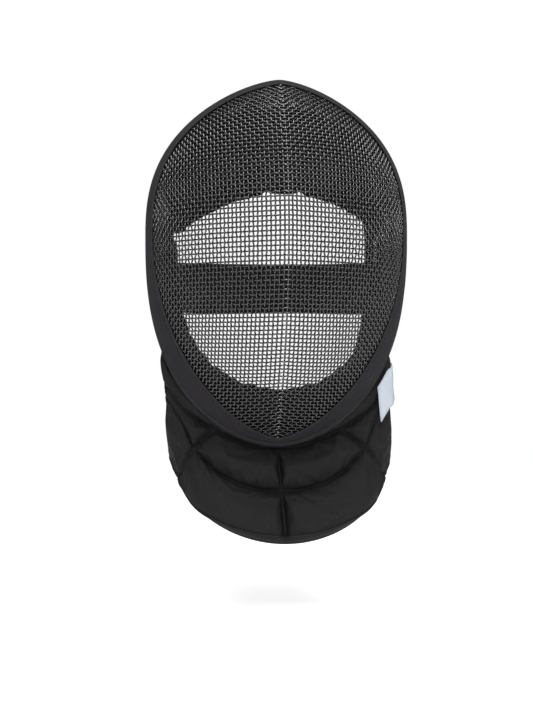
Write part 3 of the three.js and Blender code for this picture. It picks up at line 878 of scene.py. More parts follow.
def stitch_row(name, paths, outward, spacing, length, thread, diameter=0.55, lift=0.15):
    """Stitches along paths of points in millimetres on a cloth's face."""
    places, alongs, outs = [], [], []
    for line, out in zip(paths, outward):
        run = run_along(line)
        at = np.arange(spacing / 2, run[-1], spacing)
        spot = np.stack([np.interp(at, run, line[:, k]) for k in range(3)], axis=-1)
        ahead = np.stack([np.interp(at + 0.4, run, line[:, k]) for k in range(3)], axis=-1)
        behind = np.stack([np.interp(at - 0.4, run, line[:, k]) for k in range(3)], axis=-1)
        up = unit(np.stack([np.interp(at, run, out[:, k]) for k in range(3)], axis=-1))
        places.append(spot + up * lift)
        alongs.append(unit(ahead - behind))
        outs.append(up)
    source = bpy.data.meshes.new(name + "_places")
    source.from_pydata((np.concatenate(places) * MM).tolist(), [], [])
    for mark, values in (("along", alongs), ("out", outs)):
        layer = source.attributes.new(mark, "FLOAT_VECTOR", "POINT")
        layer.data.foreach_set("vector", np.concatenate(values).astype(np.float32).reshape(-1))
    sizes = {"Stitch length": length * MM, "Thread diameter": diameter * MM, "Finish": thread}
    piece = grown(name, STITCH_TREE, source, sizes)
    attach(piece, "root")
    return piece


# ---- rim and rear bindings ---------------------------------------------------------------

# Rows across the front part of the rim binding: millimetres from its inner edge, lift of the
# face above the mesh, and how strongly the row takes the painted seam shade or the lighter fold
# colour.
FRONT_LEG_START = [
    (0.0, 0.35, 0.0, 0.0), (0.15, 0.95, 0.0, 0.5), (0.6, 1.35, 0.0, 0.8), (1.3, 1.5, 0.0, 0.5),
    (2.0, 1.3, 0.5, 0.0), (2.5, 1.1, 1.0, 0.0), (3.0, 1.35, 0.4, 0.1), (3.8, 1.6, 0.0, 0.2),
]
FRONT_LEG_END = [
    (4.0, 1.7, 0.0, 0.1), (3.1, 1.55, 0.2, 0.0), (2.5, 1.2, 1.0, 0.0), (1.9, 1.5, 0.3, 0.2),
    (1.2, 1.85, 0.0, 0.7), (0.5, 1.95, 0.0, 0.8),
]
SIDE_LEG = [
    (0.6, 1.9, 0.0, 0.6), (1.3, 1.7, 0.1, 0.2), (2.1, 1.5, 0.3, 0.0), (3.2, 1.6, 0.0, 0.0),
    (4.6, 1.7, 0.0, 0.2), (5.5, 1.5, 0.0, 0.6), (5.9, 1.0, 0.2, 0.5), (6.0, 0.4, 0.8, 0.0),
]
FRONT_LEG_FLAT = (0.2, 0.4, 0.6, 0.8)
SEWN_START = 5
SEWN_END = 2
NARROWEST_FULL_BINDING = 9.0
CHIN_FLARE = 3.4
CORNER_LIFT = 1.75
LINING_GAP = 0.3


def distance_table(angles):
    """For each angle, r against the distance from the binding's inner edge."""
    shares = np.linspace(0, 1, 33)
    border = border_at(angles)
    r = mix(border[:, None], 1.0, shares[None, :])
    path = front_at(np.repeat(angles[:, None], 33, axis=1), r)
    steps = np.linalg.norm(np.diff(path, axis=1), axis=-1)
    return r, np.concatenate([np.zeros((len(angles), 1)), np.cumsum(steps, axis=1)], axis=1)


def leg_flare(angles):
    """Low down the binding's side leg stands away from the mesh over the bib's seam."""
    return CHIN_FLARE * smooth_step(0.25, 0.95, -np.sin(angles))


def rim_binding_rows(angles):
    """Rows of places, normals, lifts and marks across the rim binding."""
    r_table, run = distance_table(angles)
    width = run[:, -1]
    squeeze = np.minimum(1.0, width / NARROWEST_FULL_BINDING)
    rows = []

    def front_row(distance, lift, seam, fold):
        r = np.array([np.interp(d, run_k, r_k) for d, run_k, r_k in zip(distance, run, r_table)])
        rows.append((front_at(angles, r), normal_at(front_at, angles, r), lift, seam, fold))

    for distance, lift, seam, fold in FRONT_LEG_START:
        front_row(distance * squeeze, lift, seam, fold)
    start = FRONT_LEG_START[-1][0] * squeeze
    end = width - FRONT_LEG_END[0][0] * squeeze
    for share in FRONT_LEG_FLAT:
        front_row(mix(start, end, share), 1.75 + 0.25 * math.sin(math.pi * share), 0.0, 0.05)
    for distance, lift, seam, fold in FRONT_LEG_END:
        front_row(width - distance * squeeze, lift, seam, fold)
    ones = np.ones_like(angles)
    side_normal = normal_at(side_at, angles, 0 * angles)
    corner = unit(normal_at(front_at, angles, ones) + side_normal)
    spread = 1 / np.maximum(0.6, np.sum(corner * side_normal, axis=-1))
    rows.append((front_at(angles, ones), corner, CORNER_LIFT * spread, 0.0, 1.0))
    length = side_length(angles)
    for distance, lift, seam, fold in SIDE_LEG:
        s = distance / length
        flare = leg_flare(angles) * (distance / SIDE_LEG[-1][0]) ** 0.7
        rows.append((side_at(angles, s), normal_at(side_at, angles, s), lift + flare, seam, fold))
    return rows


def round_again(row):
    """A row of points with its first one repeated at the end."""
    return np.concatenate([row, row[:1]])


def make_rim_trim():
    """Folded over the joint of the two meshes, with a row of stitches by each edge in front."""
    angles = rim_angles(420)
    rows = rim_binding_rows(angles)
    outer = [lifted(place, normal, lift) for place, normal, lift, _, _ in rows]
    end_row = len(FRONT_LEG_START) + len(FRONT_LEG_FLAT)
    corner_row = end_row + len(FRONT_LEG_END)
    inner_rows = [rows[-1], rows[-4], rows[corner_row], rows[len(FRONT_LEG_START)], rows[0]]
    flare = leg_flare(angles)
    inner_lifts = [LINING_GAP + flare * 0.9, LINING_GAP + flare * 0.5] + [LINING_GAP] * 3
    inner = [lifted(row[0], row[1], lift) for row, lift in zip(inner_rows, inner_lifts)]
    ring = np.stack(outer + inner, axis=1)
    seam = [row[3] for row in rows] + [0.0] * len(inner)
    fold = [row[4] for row in rows] + [0.0] * len(inner)
    along = np.linspace(0, RIM_LENGTH, len(angles))
    piece = folded_strip("rim_trim_binding", ring, seam, fold, along, TRIM_CLOTH)
    sewn = (SEWN_START, end_row + SEWN_END)
    stitch_row(
        "rim_trim_stitches", [round_again(outer[k]) for k in sewn],
        [round_again(rows[k][1]) for k in sewn], 3.4, 2.5, BLACK_THREAD,
    )
    return piece


REAR_BINDING = [
    (9.0, 0.4, 0.8, 0.0), (8.7, 1.1, 0.0, 0.5), (8.0, 1.55, 0.0, 0.3), (6.9, 1.5, 0.2, 0.0),
    (6.3, 1.2, 1.0, 0.0), (5.7, 1.5, 0.2, 0.0), (4.0, 1.75, 0.0, 0.0), (2.0, 1.85, 0.0, 0.2),
    (0.5, 1.85, 0.0, 0.6),
]
REAR_SEWN = 4
REAR_TURN = (0.15, 0.32, 0.5, 0.68, 0.85)
REAR_LINING = ((9.0, -1), (4.5, -1), (0.6, -1), (0.6, 1), (4.5, 1), (9.0, 1))
REAR_SHARE_OF_RIM = 0.85


def make_rear_trim():
    """Folded over the rear edge of the side mesh, outside and inside."""
    angles = rim_angles(360)
    length = side_length(angles)
    ones = np.ones_like(angles)
    end = side_at(angles, ones)
    back = unit(end - side_at(angles, 0.97 * ones))
    end_normal = normal_at(side_at, angles, ones)
    outer, inner_face, seams, folds = [], [], [], []
    for distance, lift, seam, fold in REAR_BINDING:
        s = 1 - distance / length
        place, normal = side_at(angles, s), normal_at(side_at, angles, s)
        outer.append(place + normal * lift)
        inner_face.append(place - normal * (MESH_WALL + lift))
        seams.append(seam)
        folds.append(fold)
    turn = []
    half = MESH_WALL / 2 + REAR_BINDING[-1][1]
    for share in REAR_TURN:
        swing = math.pi * share
        middle = end - end_normal * MESH_WALL / 2
        turn.append(middle + end_normal * half * math.cos(swing) + back * (0.2 + 1.7 * math.sin(swing)))
    lining = []
    for distance, side in REAR_LINING:
        s = 1 - distance / length
        place, normal = side_at(angles, s), normal_at(side_at, angles, s)
        lining.append(place + normal * (LINING_GAP if side > 0 else -MESH_WALL - LINING_GAP))
    ring = np.stack(outer + turn + inner_face[::-1] + lining, axis=1)
    seam = seams + [0.0] * len(turn) + seams[::-1] + [0.0] * len(lining)
    fold = folds + [0.9] * len(turn) + folds[::-1] + [0.0] * len(lining)
    along = np.linspace(0, RIM_LENGTH * REAR_SHARE_OF_RIM, len(angles))
    piece = folded_strip("rear_trim_binding", ring, seam, fold, along, TRIM_CLOTH)
    normal = normal_at(side_at, angles, 1 - REAR_BINDING[REAR_SEWN][0] / length)
    stitch_row(
        "rear_trim_stitches", [round_again(outer[REAR_SEWN])], [round_again(normal)],
        3.6, 2.6, BLACK_THREAD,
    )
    return piece


# ---- bib ---------------------------------------------------------------------------------


def angle_at_height(h):
    """The rim angle on the +X side whose rim lies at height h above the widest level."""
    up = h >= 0
    t = abs(h) / (RIM["up"] if up else RIM["down"])
    power = RIM_POWERS["up_z"] if up else RIM_POWERS["down_z"]
    return math.copysign(math.asin(t ** (power / 2)), h)


def bib_top(along):
    size = np.abs(along)
    leaves, rear = angle_at_height(BIB["leaves_rim_h"]), angle_at_height(BIB["rear_h"])
    share = np.minimum(size / BIB["rim_share"], 1.0)
    t = np.maximum(size - BIB["rim_share"], 0.0) / (1 - BIB["rim_share"])
    angle = np.where(t > 0, mix(leaves, rear, t), mix(-np.pi / 2, leaves, share))
    on_rim = BIB["behind_rim"] / side_length(np.where(t > 0, leaves, angle))
    behind = mix(on_rim, BIB["rear_along"], t)
    angle = np.where(along < 0, np.pi - angle, angle)
    clear = mix(BIB["clear"], BIB["rear_clear"], np.maximum(0, (size - 0.85) / 0.15))
    return side_at(angle, behind) + normal_at(side_at, angle, behind) * clear[..., None]


def bib_hem(along):
    turn = np.radians(BIB["hem_turn"] * along)
    return points_of(
        BIB["hem_half"] * signed_power(np.sin(turn), 0.9) + BIB["sway"],
        BIB["hem_centre_y"] - BIB["hem_reach"] * np.cos(turn),
        BIB["hem_z"] + BIB["hem_rise"] * (1 - np.cos(turn)) ** 0.9,
    )


def bib_at(along, drop):
    """The inner face of the bib, bulging a little between its edges."""
    turn = np.radians(BIB["hem_turn"] * along)
    point = mix(bib_top(along), bib_hem(along), drop[..., None])
    bulge = BIB["bulge"] * np.sin(np.pi * np.clip(drop, 0, 1)) ** 0.8
    return point + points_of(np.sin(turn), -np.cos(turn), 0.0) * bulge[..., None]


def bib_normal(along, drop):
    step = 0.012
    across = bib_at(along + step, drop) - bib_at(along - step, drop)
    down = bib_at(along, np.minimum(1, drop + step)) - bib_at(along, np.maximum(0, drop - step))
    return unit(-np.cross(across, down))


def to_segment(x, y, start, end):
    run = np.array(end) - np.array(start)
    t = np.clip(((x - start[0]) * run[0] + (y - start[1]) * run[1]) / (run @ run), 0, 1)
    return np.hypot(x - start[0] - t * run[0], y - start[1] - t * run[1])


def seam_distance(along, drop, middle_scale=1.0, middle_shift=0.0):
    """Millimetres over the cloth from a place on the bib to the nearest quilting seam. The
    middle seam can be made to count as farther away, where it draws the padding in less."""
    size = np.abs(along)
    x, y = size * BIB_SPAN["along"], drop * BIB_SPAN["drop"]
    nearest = np.full(np.shape(x), 1e3)
    for table in (UPPER_SEAM, LOWER_SEAM):
        line = [(a * BIB_SPAN["along"], d * BIB_SPAN["drop"]) for a, d in zip(SEAM_ALONG, table)]
        for start, end in zip(line[:-1], line[1:]):
            nearest = np.minimum(nearest, to_segment(x, y, start, end))
    line = [(a * BIB_SPAN["along"], d * BIB_SPAN["drop"]) for a, d in SLANT_SEAM]
    for start, end in zip(line[:-1], line[1:]):
        nearest = np.minimum(nearest, to_segment(x, y, start, end))
    centre = to_segment(x, y, (0.0, UPPER_SEAM[0] * BIB_SPAN["drop"]), (0.0, BIB_SPAN["drop"]))
    return np.minimum(nearest, middle_scale * centre + middle_shift)


def blown_up(points, faces, pinned):
    """The faces' points after Blender's cloth has lifted them off their pinned places."""
    mesh = bpy.data.meshes.new("cloth_trial")
    mesh.from_pydata((points.reshape(-1, 3) * MM).tolist(), [], faces.tolist())
    trial = object_from("cloth_trial", mesh)
    sewn = trial.vertex_groups.new(name="sewn")
    for number, weight in enumerate(pinned.reshape(-1)):
        if weight > 0.001:
            sewn.add([number], float(weight), "REPLACE")
    cloth = trial.modifiers.new("Cloth", "CLOTH")
    settings = cloth.settings
    settings.quality = 6
    settings.mass = 0.25
    settings.tension_stiffness = 12
    settings.compression_stiffness = 12
    settings.shear_stiffness = 4
    settings.bending_stiffness = 0.6
    settings.vertex_group_mass = "sewn"
    settings.use_pressure = True
    settings.uniform_pressure_force = BIB_RUN["pressure"]
    settings.shrink_min = -BIB_RUN["growth"]
    settings.effector_weights.gravity = 0.0
    cloth.collision_settings.use_collision = False
    cloth.point_cache.frame_end = 24
    settled = settled_vertices(trial) / MM
    bpy.data.objects.remove(trial)
    return moved_at_most(points.reshape(-1, 3), settled, BIB_RUN["cap"]).reshape(points.shape)


def bib_grid(rows, cols):
    """Places on the bib, row by row from its top edge to the hem."""
    return np.meshgrid(np.linspace(-1, 1, cols), np.linspace(0, 1, rows))


def resampled(grid, rows, cols):
    """A grid of values on more rows and columns, along smooth curves through the old ones."""
    for axis, count in ((0, rows), (1, cols)):
        grid = np.swapaxes(grid, 0, axis)
        last = grid.shape[0] - 1
        x = np.linspace(0, last, count)
        i = np.minimum(np.floor(x).astype(int), last - 1)
        f = (x - i).reshape((-1,) + (1,) * (grid.ndim - 1))
        a, b, c, d = (grid[np.clip(i + k, 0, last)] for k in (-1, 0, 1, 2))
        grid = b + 0.5 * f * (c - a + f * (2 * a - 5 * b + 4 * c - d + f * (3 * (b - c) + d - a)))
        grid = np.swapaxes(grid, 0, axis)
    return grid


def on_grid(grid, along, drop):
    """A bib grid's point at places between its rows and columns."""
    rows, cols = grid.shape[:2]
    x, y = (along + 1) / 2 * (cols - 1), drop * (rows - 1)
    i = np.clip(np.floor(x).astype(int), 0, cols - 2)
    j = np.clip(np.floor(y).astype(int), 0, rows - 2)
    fx, fy = (x - i)[..., None], (y - j)[..., None]
    upper = mix(grid[j, i], grid[j, i + 1], fx)
    return mix(upper, mix(grid[j + 1, i], grid[j + 1, i + 1], fx), fy)


def quilt_height(along, distance, to_edge):
    """Height of the padded cloth over its lining: steep beside a seam, then nearly level."""
    side = smooth_step(PUFF["thin_from"], PUFF["thin_to"], np.abs(along))
    full = PUFF["full"] - PUFF["thinner"] * side
    rise = np.clip(distance / PUFF["reach"], 0, 1)
    edge = np.clip(to_edge / PUFF["edge_reach"], 0, 1)
    puff = (1 - (1 - rise) ** 2) ** PUFF["roundness"] * np.sqrt(1 - (1 - edge) ** 2)
    return PUFF["sewn"] + (full - PUFF["sewn"]) * puff


def bib_facts(rows, cols):
    """Places on the bib, and how far each is over the cloth from a seam and from an edge."""
    along, drop = bib_grid(rows, cols)
    distance = seam_distance(along, drop)
    to_edge = np.minimum(drop, 1 - drop) * BIB_SPAN["drop"]
    to_edge = np.minimum(to_edge, (1 - np.abs(along)) * BIB_SPAN["along"])
    return along, drop, distance, to_edge


def puckers(along, drop, distance):
    """Small gathers that run off a sewn line and die out in the padding."""
    x, y = along * BIB_SPAN["along"], drop * BIB_SPAN["drop"]
    waves = np.sin(0.62 * x + 1.3 * np.sin(0.11 * x) + 0.7) + 0.8 * np.sin(0.41 * x - 0.33 * y + 2.0)
    waves = waves + 0.7 * np.sin(0.5 * y + 0.23 * x + 0.4)
    beside = np.exp(-(((distance - PUCKER["from_seam"]) / PUCKER["spread"]) ** 2))
    return PUCKER["height"] * waves * beside


def bib_face():
    """The bib's outer face on the coarse grid, blown up between its sewn lines."""
    along, drop, distance, to_edge = bib_facts(*BIB_COARSE)
    inside, normal = bib_at(along, drop), bib_normal(along, drop)
    from_seam = seam_distance(along, drop, PUFF["middle_scale"], PUFF["middle_shift"])
    height = quilt_height(along, from_seam, to_edge)
    low = inside + normal * (BIB_RUN["start"] * height + puckers(along, drop, distance))[..., None]
    pinned = np.clip(1.2 - np.minimum(distance, to_edge) / BIB_RUN["pinned"], 0, 1)
    return blown_up(low, grid_faces(*BIB_COARSE), pinned) - inside


def make_bib():
    """The quilted bib with its stitched seams; also gives its outer face for its binding."""
    along, drop, distance, to_edge = bib_facts(*BIB_FINE)
    inside, normal = bib_at(along, drop), bib_normal(along, drop)
    offset = resampled(bib_face(), *BIB_FINE)
    height = np.sum(offset * normal, axis=-1)
    offset = offset + normal * (np.maximum(height, PUFF["sewn"]) - height)[..., None]
    groove = PUFF["groove"] * np.exp(-((distance / PUFF["groove_width"]) ** 2))
    outside = inside + offset - normal * groove[..., None]
    dent = PUFF["lining_dent"] * np.exp(-((distance / PUFF["dent_width"]) ** 2))
    lining = inside + normal * dent[..., None]
    laid = np.stack([along * BIB_SPAN["along"], drop * BIB_SPAN["drop"]], axis=-1)
    # Painted shade along the grooves of the quilting seams.
    seam = np.exp(-((distance / 1.25) ** 4))
    piece = cloth_wall("bib_quilted", outside, lining, laid, seam, BIB_CLOTH, seam_inside=0.6)
    u = np.linspace(-0.985, 0.985, 400)
    places = [(u, np.interp(np.abs(u), SEAM_ALONG, table)) for table in (UPPER_SEAM, LOWER_SEAM)]
    v = np.linspace(UPPER_SEAM[0] + 0.01, 0.94, 120)
    places.append((0 * v, v))
    slant = np.array(SLANT_SEAM)
    t = np.linspace(0, 0.94 * (len(slant) - 1), 140)
    for side in (1, -1):
        ends = np.arange(len(slant))
        places.append((side * np.interp(t, ends, slant[:, 0]), np.interp(t, ends, slant[:, 1])))
    stitch_row(
        "bib_stitches", [on_grid(outside, a, b) for a, b in places],
        [bib_normal(a, b) for a, b in places], 3.0, 2.2, BLACK_THREAD, diameter=0.5, lift=0.0,
    )
    return piece, outside


# Rows up the hem binding, from its edge on the cloth to the fold: millimetres above the hem,
# lift, and how strongly the row takes the painted seam shade or the lighter fold colour.
HEM_BINDING = [
    (5.0, 0.15, 1.0, 0.0), (4.8, 0.75, 0.0, 0.5), (4.2, 1.05, 0.0, 0.3), (3.4, 1.0, 0.3, 0.0),
    (2.9, 0.75, 1.0, 0.0), (2.4, 1.0, 0.3, 0.0), (1.2, 1.2, 0.0, 0.1), (0.0, 1.2, 0.0, 0.6),
]
HEM_SEWN = 4
HEM_TURN = (0.2, 0.4, 0.6, 0.8)
HEM_LINING = ((5.0, False), (0.3, False), (0.3, True), (5.0, True))


def make_bib_hem(outside):
    """The narrow binding folded over the bib's bottom edge."""
    cols = 240
    u = np.linspace(-1, 1, cols)
    down = unit(bib_hem(u) - bib_top(u))
    normal = bib_normal(u, np.ones(cols))
    front, back, seams, folds = [], [], [], []
    for height, lift, seam, fold in HEM_BINDING:
        v = np.full(cols, 1 - height / BIB_SPAN["drop"])
        front.append(on_grid(outside, u, v) + bib_normal(u, v) * lift)
        back.append(bib_at(u, v) - bib_normal(u, v) * lift)
        seams.append(seam)
        folds.append(fold)
    top, bottom = front[-1], back[-1]
    middle, half = (top + bottom) / 2, (top - bottom) / 2
    turn = [
        middle + half * math.cos(math.pi * share) + down * 1.4 * math.sin(math.pi * share)
        for share in HEM_TURN
    ]
    lining = []
    for height, is_front in HEM_LINING:
        v = np.full(cols, 1 - height / BIB_SPAN["drop"])
        if is_front:
            lining.append(on_grid(outside, u, v) + bib_normal(u, v) * 0.1)
        else:
            lining.append(bib_at(u, v) - bib_normal(u, v) * 0.1)
    ring = np.stack(front + turn + back[::-1] + lining, axis=1)
    seam = seams + [0.0] * len(turn) + seams[::-1] + [0.0] * len(lining)
    fold = folds + [0.7] * len(turn) + folds[::-1] + [0.0] * len(lining)
    along = u * BIB_SPAN["along"]
    piece = folded_strip("bib_hem_binding", ring, seam, fold, along, BIB_CLOTH, closed=False)
    sewn_v = np.full(cols, 1 - HEM_BINDING[HEM_SEWN][0] / BIB_SPAN["drop"])
    stitch_row(
        "bib_hem_stitches", [front[HEM_SEWN]], [bib_normal(u, sewn_v)], 3.0, 2.2, BLACK_THREAD,
        diameter=0.5,
    )
    return piece


def make_side_label():
    """A small bare cloth label, sewn by its top under the rim binding; also gives its flat size."""
    rows, cols = 26, 22
    u = np.repeat(np.linspace(LABEL["from"], LABEL["to"], cols)[None, :], rows, axis=0)
    v = np.repeat(np.linspace(LABEL["top"], LABEL["bottom"], rows)[:, None], cols, axis=1)
    below_trim = np.exp(-v * BIB_SPAN["drop"] / LABEL["rise"])
    padding = mix(PUFF["full"] - PUFF["thinner"], LABEL["at_trim"], below_trim)
    base = bib_at(u, v)
    normal = bib_normal(u, v)
    x = np.linspace(0, 1, cols)[None, :]
    y = np.linspace(0, 1, rows)[:, None]
    corners_out = LABEL["curl"] * y**2 * np.abs(2 * x - 1) ** 3
    wavy = LABEL["wave"] * np.sin(2.2 * np.pi * y + 0.6) * y
    lift = padding + LABEL["gap"] + (corners_out + wavy)
    under = base + normal * lift[..., None]
    over = under + normal * LABEL["wall"]
    width = np.linalg.norm(under[:, -1] - under[:, 0], axis=1).mean()
    height = np.linalg.norm(under[-1] - under[0], axis=1).mean()
    laid = points_of(x * width, y * height, 0.0)[..., :2]
    edge = np.minimum(np.minimum(x, 1 - x) * width, np.minimum(y, 1 - y) * height)
    # Painted shade along the label's hem line, in from its edge.
    seam = np.exp(-(((edge - LABEL["hem_in"]) / LABEL["hem_width"]) ** 2))
    piece = cloth_wall("bare_side_label", over, under, laid, seam, LABEL_CLOTH)
    stitch_row(
        "label_stitches", [over[2, 1:-1]], [normal[2, 1:-1]], 1.8, 1.3, WHITE_THREAD,
        diameter=0.35, lift=0.05,
    )
    return piece, (width, height)


# ---- pads --------------------------------------------------------------------------------


def crown_pad_points(rows, cols):
    """The outer and inner faces of the liner over forehead and crown, on a head's oval."""
    u = np.linspace(-1, 1, cols)[None, :]
    t = np.linspace(0, 1, rows)[:, None]
    side_turn = np.radians(CROWN_PAD["side_turn"] * u)
    turn = np.radians(mix(CROWN_PAD["front_turn"] * (1 - u * u), CROWN_PAD["rear_turn"], t))
    out = points_of(np.sin(side_turn), -np.cos(side_turn) * np.cos(turn), np.cos(side_turn) * np.sin(turn))
    sizes = np.array([HEAD["half"], HEAD["depth"], HEAD["height"]])
    point = out * sizes + np.array([0.0, HEAD["centre_y"], -HEAD["height"]])
    normal = unit(out / sizes)
    to_side = (1 - np.abs(u)) * CROWN_EDGE["across"]
    edge = np.minimum(np.minimum(t, 1 - t) * CROWN_EDGE["over"], to_side)
    softened = mix(THIN_EDGE, 1.0, smooth_step(0.0, CROWN_EDGE["round"], edge))
    full = (np.interp(t, CROWN_OVER, CROWN_FULL) + CROWN_PAD["side_extra"] * u * u) * softened
    return point + normal * full[..., None] * BEFORE_PUFFING, point + normal * 0.35


def jaw_pad_points(rows, cols):
    """The two faces of the U-shaped liner, from behind the rim in to the cheeks and chin."""
    from_turn = JAW_PAD["from_turn"]
    angle = np.radians(np.linspace(from_turn, -180 - from_turn, cols))

    def rooted(a):
        s = JAW_PAD["behind_rim"] / np.maximum(side_length(a), 2 * JAW_PAD["behind_rim"])
        return side_at(a, s) - normal_at(side_at, a, s) * (MESH_WALL + JAW_PAD["clear"])

    def inner(a):
        low = np.sin(a)
        return points_of(
            JAW_PAD["half"] * np.cos(a),
            mix(JAW_PAD["side_y"], JAW_PAD["chin_y"], low * low),
            JAW_PAD["centre_z"] + JAW_PAD["down"] * signed_power(low, 0.85),
        )

    t = np.linspace(0, 1, rows)[:, None, None]
    step = 0.02
    middle = mix(rooted(angle)[None], inner(angle)[None], t)
    along_root = rooted(angle + step) - rooted(angle - step)
    along_inner = inner(angle + step) - inner(angle - step)
    along = mix(along_root[None], along_inner[None], t)
    normal = unit(np.cross(along, (inner(angle) - rooted(angle))[None] + 0 * along))
    ends = np.minimum(np.arange(cols), np.arange(cols)[::-1]) * JAW_EDGE["column"]
    edge = np.minimum(np.minimum(t[..., 0], 1 - t[..., 0]) * JAW_EDGE["over"], ends[None, :])
    softened = mix(THIN_EDGE, 1.0, smooth_step(0.0, JAW_EDGE["round"], edge))
    half = JAW_PAD["wall"] / 2 * softened * BEFORE_PUFFING
    return middle + normal * half[..., None], middle - normal * half[..., None]


def puffed(name, outer, inner, material, cap):
    """A padded piece: remeshed evenly, blown up by cloth pressure, capped and smoothed."""
    rows, cols = outer.shape[:2]
    points = np.concatenate([outer.reshape(-1, 3), inner.reshape(-1, 3)])
    piece = object_from(name, mesh_from(name, points, shell_faces(rows, cols)), material)
    remesh = piece.modifiers.new("Even", "REMESH")
    remesh.mode = "VOXEL"
    remesh.voxel_size = PUFF_VOXEL * MM
    remesh.use_smooth_shade = True
    apply_modifiers(piece)
    start = vertices_of(piece.data)
    cloth = piece.modifiers.new("Cloth", "CLOTH")
    cloth.settings.use_pressure = True
    cloth.settings.uniform_pressure_force = PAD_RUN["pressure"]
    cloth.settings.shrink_min = -PAD_RUN["growth"]
    cloth.settings.effector_weights.gravity = 0.0
    cloth.collision_settings.use_collision = False
    settled = settled_vertices(piece)
    piece.modifiers.clear()
    put_vertices(piece.data, moved_at_most(start, settled, cap * MM))
    subdivide(piece, 1)
    piece.data.materials.clear()
    piece.data.materials.append(material)
    piece.data.shade_smooth()
    return piece


# ---- strap -------------------------------------------------------------------------------


def make_back_strap():
    """Flat ribbed elastic, sewn to both sides and running round behind the head."""
    rows = 71
    heights = np.linspace(STRAP["top_h"], STRAP["bottom_h"], rows)
    arc = np.linspace(0, np.pi, 90)[1:-1]
    side_steps = mix(STRAP["starts"], 1.0, np.linspace(0, 1, 10))

    def path_at(h, lift):
        angle = angle_at_height(h) * np.ones(len(side_steps))
        run = side_at(angle, side_steps) + normal_at(side_at, angle, side_steps) * lift
        end = run[-1]
        reach = STRAP["reach"] + lift
        bend = points_of(end[0] * np.cos(arc), end[1] + reach * np.sin(arc) ** 0.8, end[2])
        return np.concatenate([run, bend, (run * np.array([-1, 1, 1]))[::-1]])

    rib = np.abs(np.sin(np.pi * np.arange(rows) / 5.0)) ** 0.7
    edge = np.minimum(np.arange(rows), np.arange(rows)[::-1])
    rounded = smooth_step(0, 2, edge)
    ribs = list(zip(heights, rib, rounded))
    outer = np.stack([path_at(h, STRAP["clear"] + 1.0 + 0.7 * a * b) for h, a, b in ribs])
    inner = np.stack([path_at(h, STRAP["clear"] + 0.5 - 0.3 * a * b) for h, a, b in ribs])
    run = run_along(outer[rows // 2])
    laid = points_of(run[None, :], (heights[0] - heights)[:, None], 0.0)[..., :2]
    # Painted shade: the seam mark here darkens the valleys between the ribs.
    seam = np.repeat((1 - rib)[:, None], outer.shape[1], axis=1)
    piece = cloth_wall("ribbed_back_strap", outer, inner, laid, seam, ELASTIC)
    lines, outs = [], []
    for mirror in (1.0, -1.0):
        flip = np.array([mirror, 1, 1])
        face = outer[:, :8]
        box = [face[4:-4, 1], face[4:-4, 6], face[4, 1:7], face[-5, 1:7]]
        slope = np.linspace(4, rows - 5, 30).astype(int)
        columns = np.linspace(1, 6, 30)
        for order in (1, -1):
            picked = [face[j, int(round(c))] for j, c in zip(slope, columns[::order])]
            box.append(np.array(picked))
        for line in box:
            lines.append(line * flip)
            outs.append(np.repeat(np.array([[mirror, 0.0, 0.0]]), len(line), axis=0))
    stitch_row("strap_stitches", lines, outs, 2.8, 2.0, BLACK_THREAD)
    return piece


# ---- make every piece --------------------------------------------------------------------


def ride_as(piece, slot, *nodes):
    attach(piece, "root")
    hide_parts(*nodes)


front_wires = make_front_wires()
side_wires = make_side_wires()
for wires in front_wires:
    ride_as(wires, "black_wire", "front_mesh")
for wires in side_wires:
    ride_as(wires, "black_wire", "side_mesh")
ride_as(make_rim_trim(), "trim_cloth", "rim_trim")
ride_as(make_rear_trim(), "trim_cloth", "rear_trim")
bib, bib_outside = make_bib()
ride_as(bib, "bib_cloth", "bib")
ride_as(make_bib_hem(bib_outside), "bib_cloth", "bib_hem")
label, label_size = make_side_label()
ride_as(label, "label_cloth", "side_label")
crown_pad = puffed("crown_pad_cushion", *crown_pad_points(24, 48), PAD_CLOTH, 3.0)
ride_as(crown_pad, "pad_cloth", "crown_pad")
jaw_pad = puffed("jaw_pad_cushion", *jaw_pad_points(14, 90), PAD_CLOTH, 2.0)
ride_as(jaw_pad, "pad_cloth", "jaw_pad")
ride_as(make_back_strap(), "elastic", "back_strap")


# ---- floor, light and camera -------------------------------------------------------------


FLOOR = {"level": -0.40, "radius": 1.6, "glow": 0.55}
STUDIO = {"seen": 1.0, "ambient": 0.05, "aim": (0.0, -0.03, -0.17)}
SOFTBOXES = [
    ("front_box", (0.0, -1.6, 0.5), (0.3, 0.8), 21.0, (1.0, 0.99, 0.965)),
    ("high_box", (0.0, -0.55, 1.4), (1.6, 0.8), 36.0, (1.0, 1.0, 1.0)),
    ("left_box", (-1.5, -0.55, 0.25), (0.35, 1.1), 5.0, (0.98, 0.99, 1.0)),
    ("right_box", (1.5, -0.45, 0.2), (0.35, 1.1), 6.0, (0.98, 0.99, 1.0)),
    ("back_box", (0.2, 1.6, 0.6), (1.4, 1.0), 8.0, (1.0, 1.0, 1.0)),
]


def make_floor():
    """A pale round floor under the mask, which fades into the white studio."""
    level = FLOOR["level"]
    turns = np.linspace(0, 2 * np.pi, 65)[:-1]
    ring = [(FLOOR["radius"] * math.cos(t), FLOOR["radius"] * math.sin(t), level) for t in turns]
    mesh = bpy.data.meshes.new("floor")
    mesh.from_pydata(ring, [], [list(range(len(ring)))])
    material, tree, shader = open_material("Pale floor")
    shader.inputs["Base Color"].default_value = (0.86, 0.86, 0.86, 1)
    shader.inputs["Roughness"].default_value = 0.9
    shader.inputs["Specular IOR Level"].default_value = 0.1
    shader.inputs["Emission Color"].default_value = (1, 1, 1, 1)
    path = new_node(tree, "ShaderNodeLightPath")
    glow = math_node(tree, "MULTIPLY", path.outputs["Is Camera Ray"], FLOOR["glow"])
    tree.links.new(glow, shader.inputs["Emission Strength"])
    floor = object_from("floor", mesh, material)


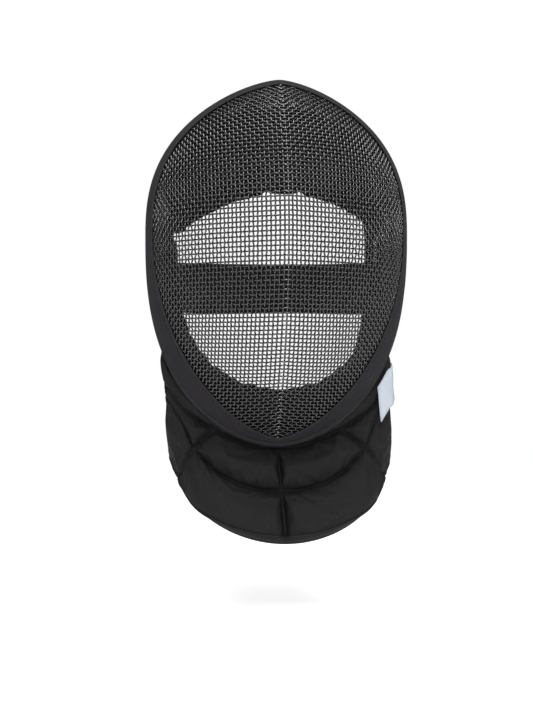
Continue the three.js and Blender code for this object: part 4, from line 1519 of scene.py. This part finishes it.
def add_softbox(name, place, size, power, colour):
    lamp = bpy.data.lights.new(name, "AREA")
    lamp.shape = "RECTANGLE"
    lamp.size, lamp.size_y = size
    lamp.energy = power
    lamp.color = colour
    holder = bpy.data.objects.new(name, lamp)
    SCENE.collection.objects.link(holder)
    holder.location = place
    towards = Vector(STUDIO["aim"]) - Vector(place)
    holder.rotation_euler = towards.to_track_quat("-Z", "Y").to_euler()


def make_light():
    world = bpy.data.worlds.new("Studio")
    SCENE.world = world
    world.use_nodes = True
    tree = world.node_tree
    tree.nodes.clear()
    seen = new_node(tree, "ShaderNodeBackground", {"Color": (1, 1, 1, 1), "Strength": STUDIO["seen"]})
    lit = new_node(tree, "ShaderNodeBackground", {"Color": (1, 1, 1, 1), "Strength": STUDIO["ambient"]})
    path = new_node(tree, "ShaderNodeLightPath")
    both = new_node(
        tree, "ShaderNodeMixShader",
        {0: path.outputs["Is Camera Ray"], 1: lit.outputs[0], 2: seen.outputs[0]},
    )
    out = new_node(tree, "ShaderNodeOutputWorld")
    tree.links.new(both.outputs[0], out.inputs[0])
    for box in SOFTBOXES:
        add_softbox(*box)


CAMERA = {
    "azimuth": -4.0, "elevation": 0.0, "target": (0.0, -0.025, -0.187), "distance": 1.15,
    "lens": 71.88608, "sensor": 36.0, "left": 0.0081,
}


def make_camera():
    azimuth, elevation = math.radians(CAMERA["azimuth"]), math.radians(CAMERA["elevation"])
    back = Vector((
        math.sin(azimuth) * math.cos(elevation),
        -math.cos(azimuth) * math.cos(elevation),
        math.sin(elevation),
    ))
    right = Vector((math.cos(azimuth), math.sin(azimuth), 0.0))
    up = back.cross(right)
    place = Vector(CAMERA["target"]) + back * CAMERA["distance"] - right * CAMERA["left"]
    lens = bpy.data.cameras.new("camera")
    lens.sensor_width = CAMERA["sensor"]
    lens.sensor_fit = "AUTO"
    lens.lens = CAMERA["lens"]
    lens.clip_start = 0.01
    camera = bpy.data.objects.new("camera", lens)
    SCENE.collection.objects.link(camera)
    turn = Matrix((right, up, back)).transposed().to_4x4()
    camera.matrix_world = Matrix.Translation(place) @ turn
    SCENE.camera = camera


make_floor()
make_light()
make_camera()
SCENE.view_settings.view_transform = "Standard"
SCENE.frame_set(1)
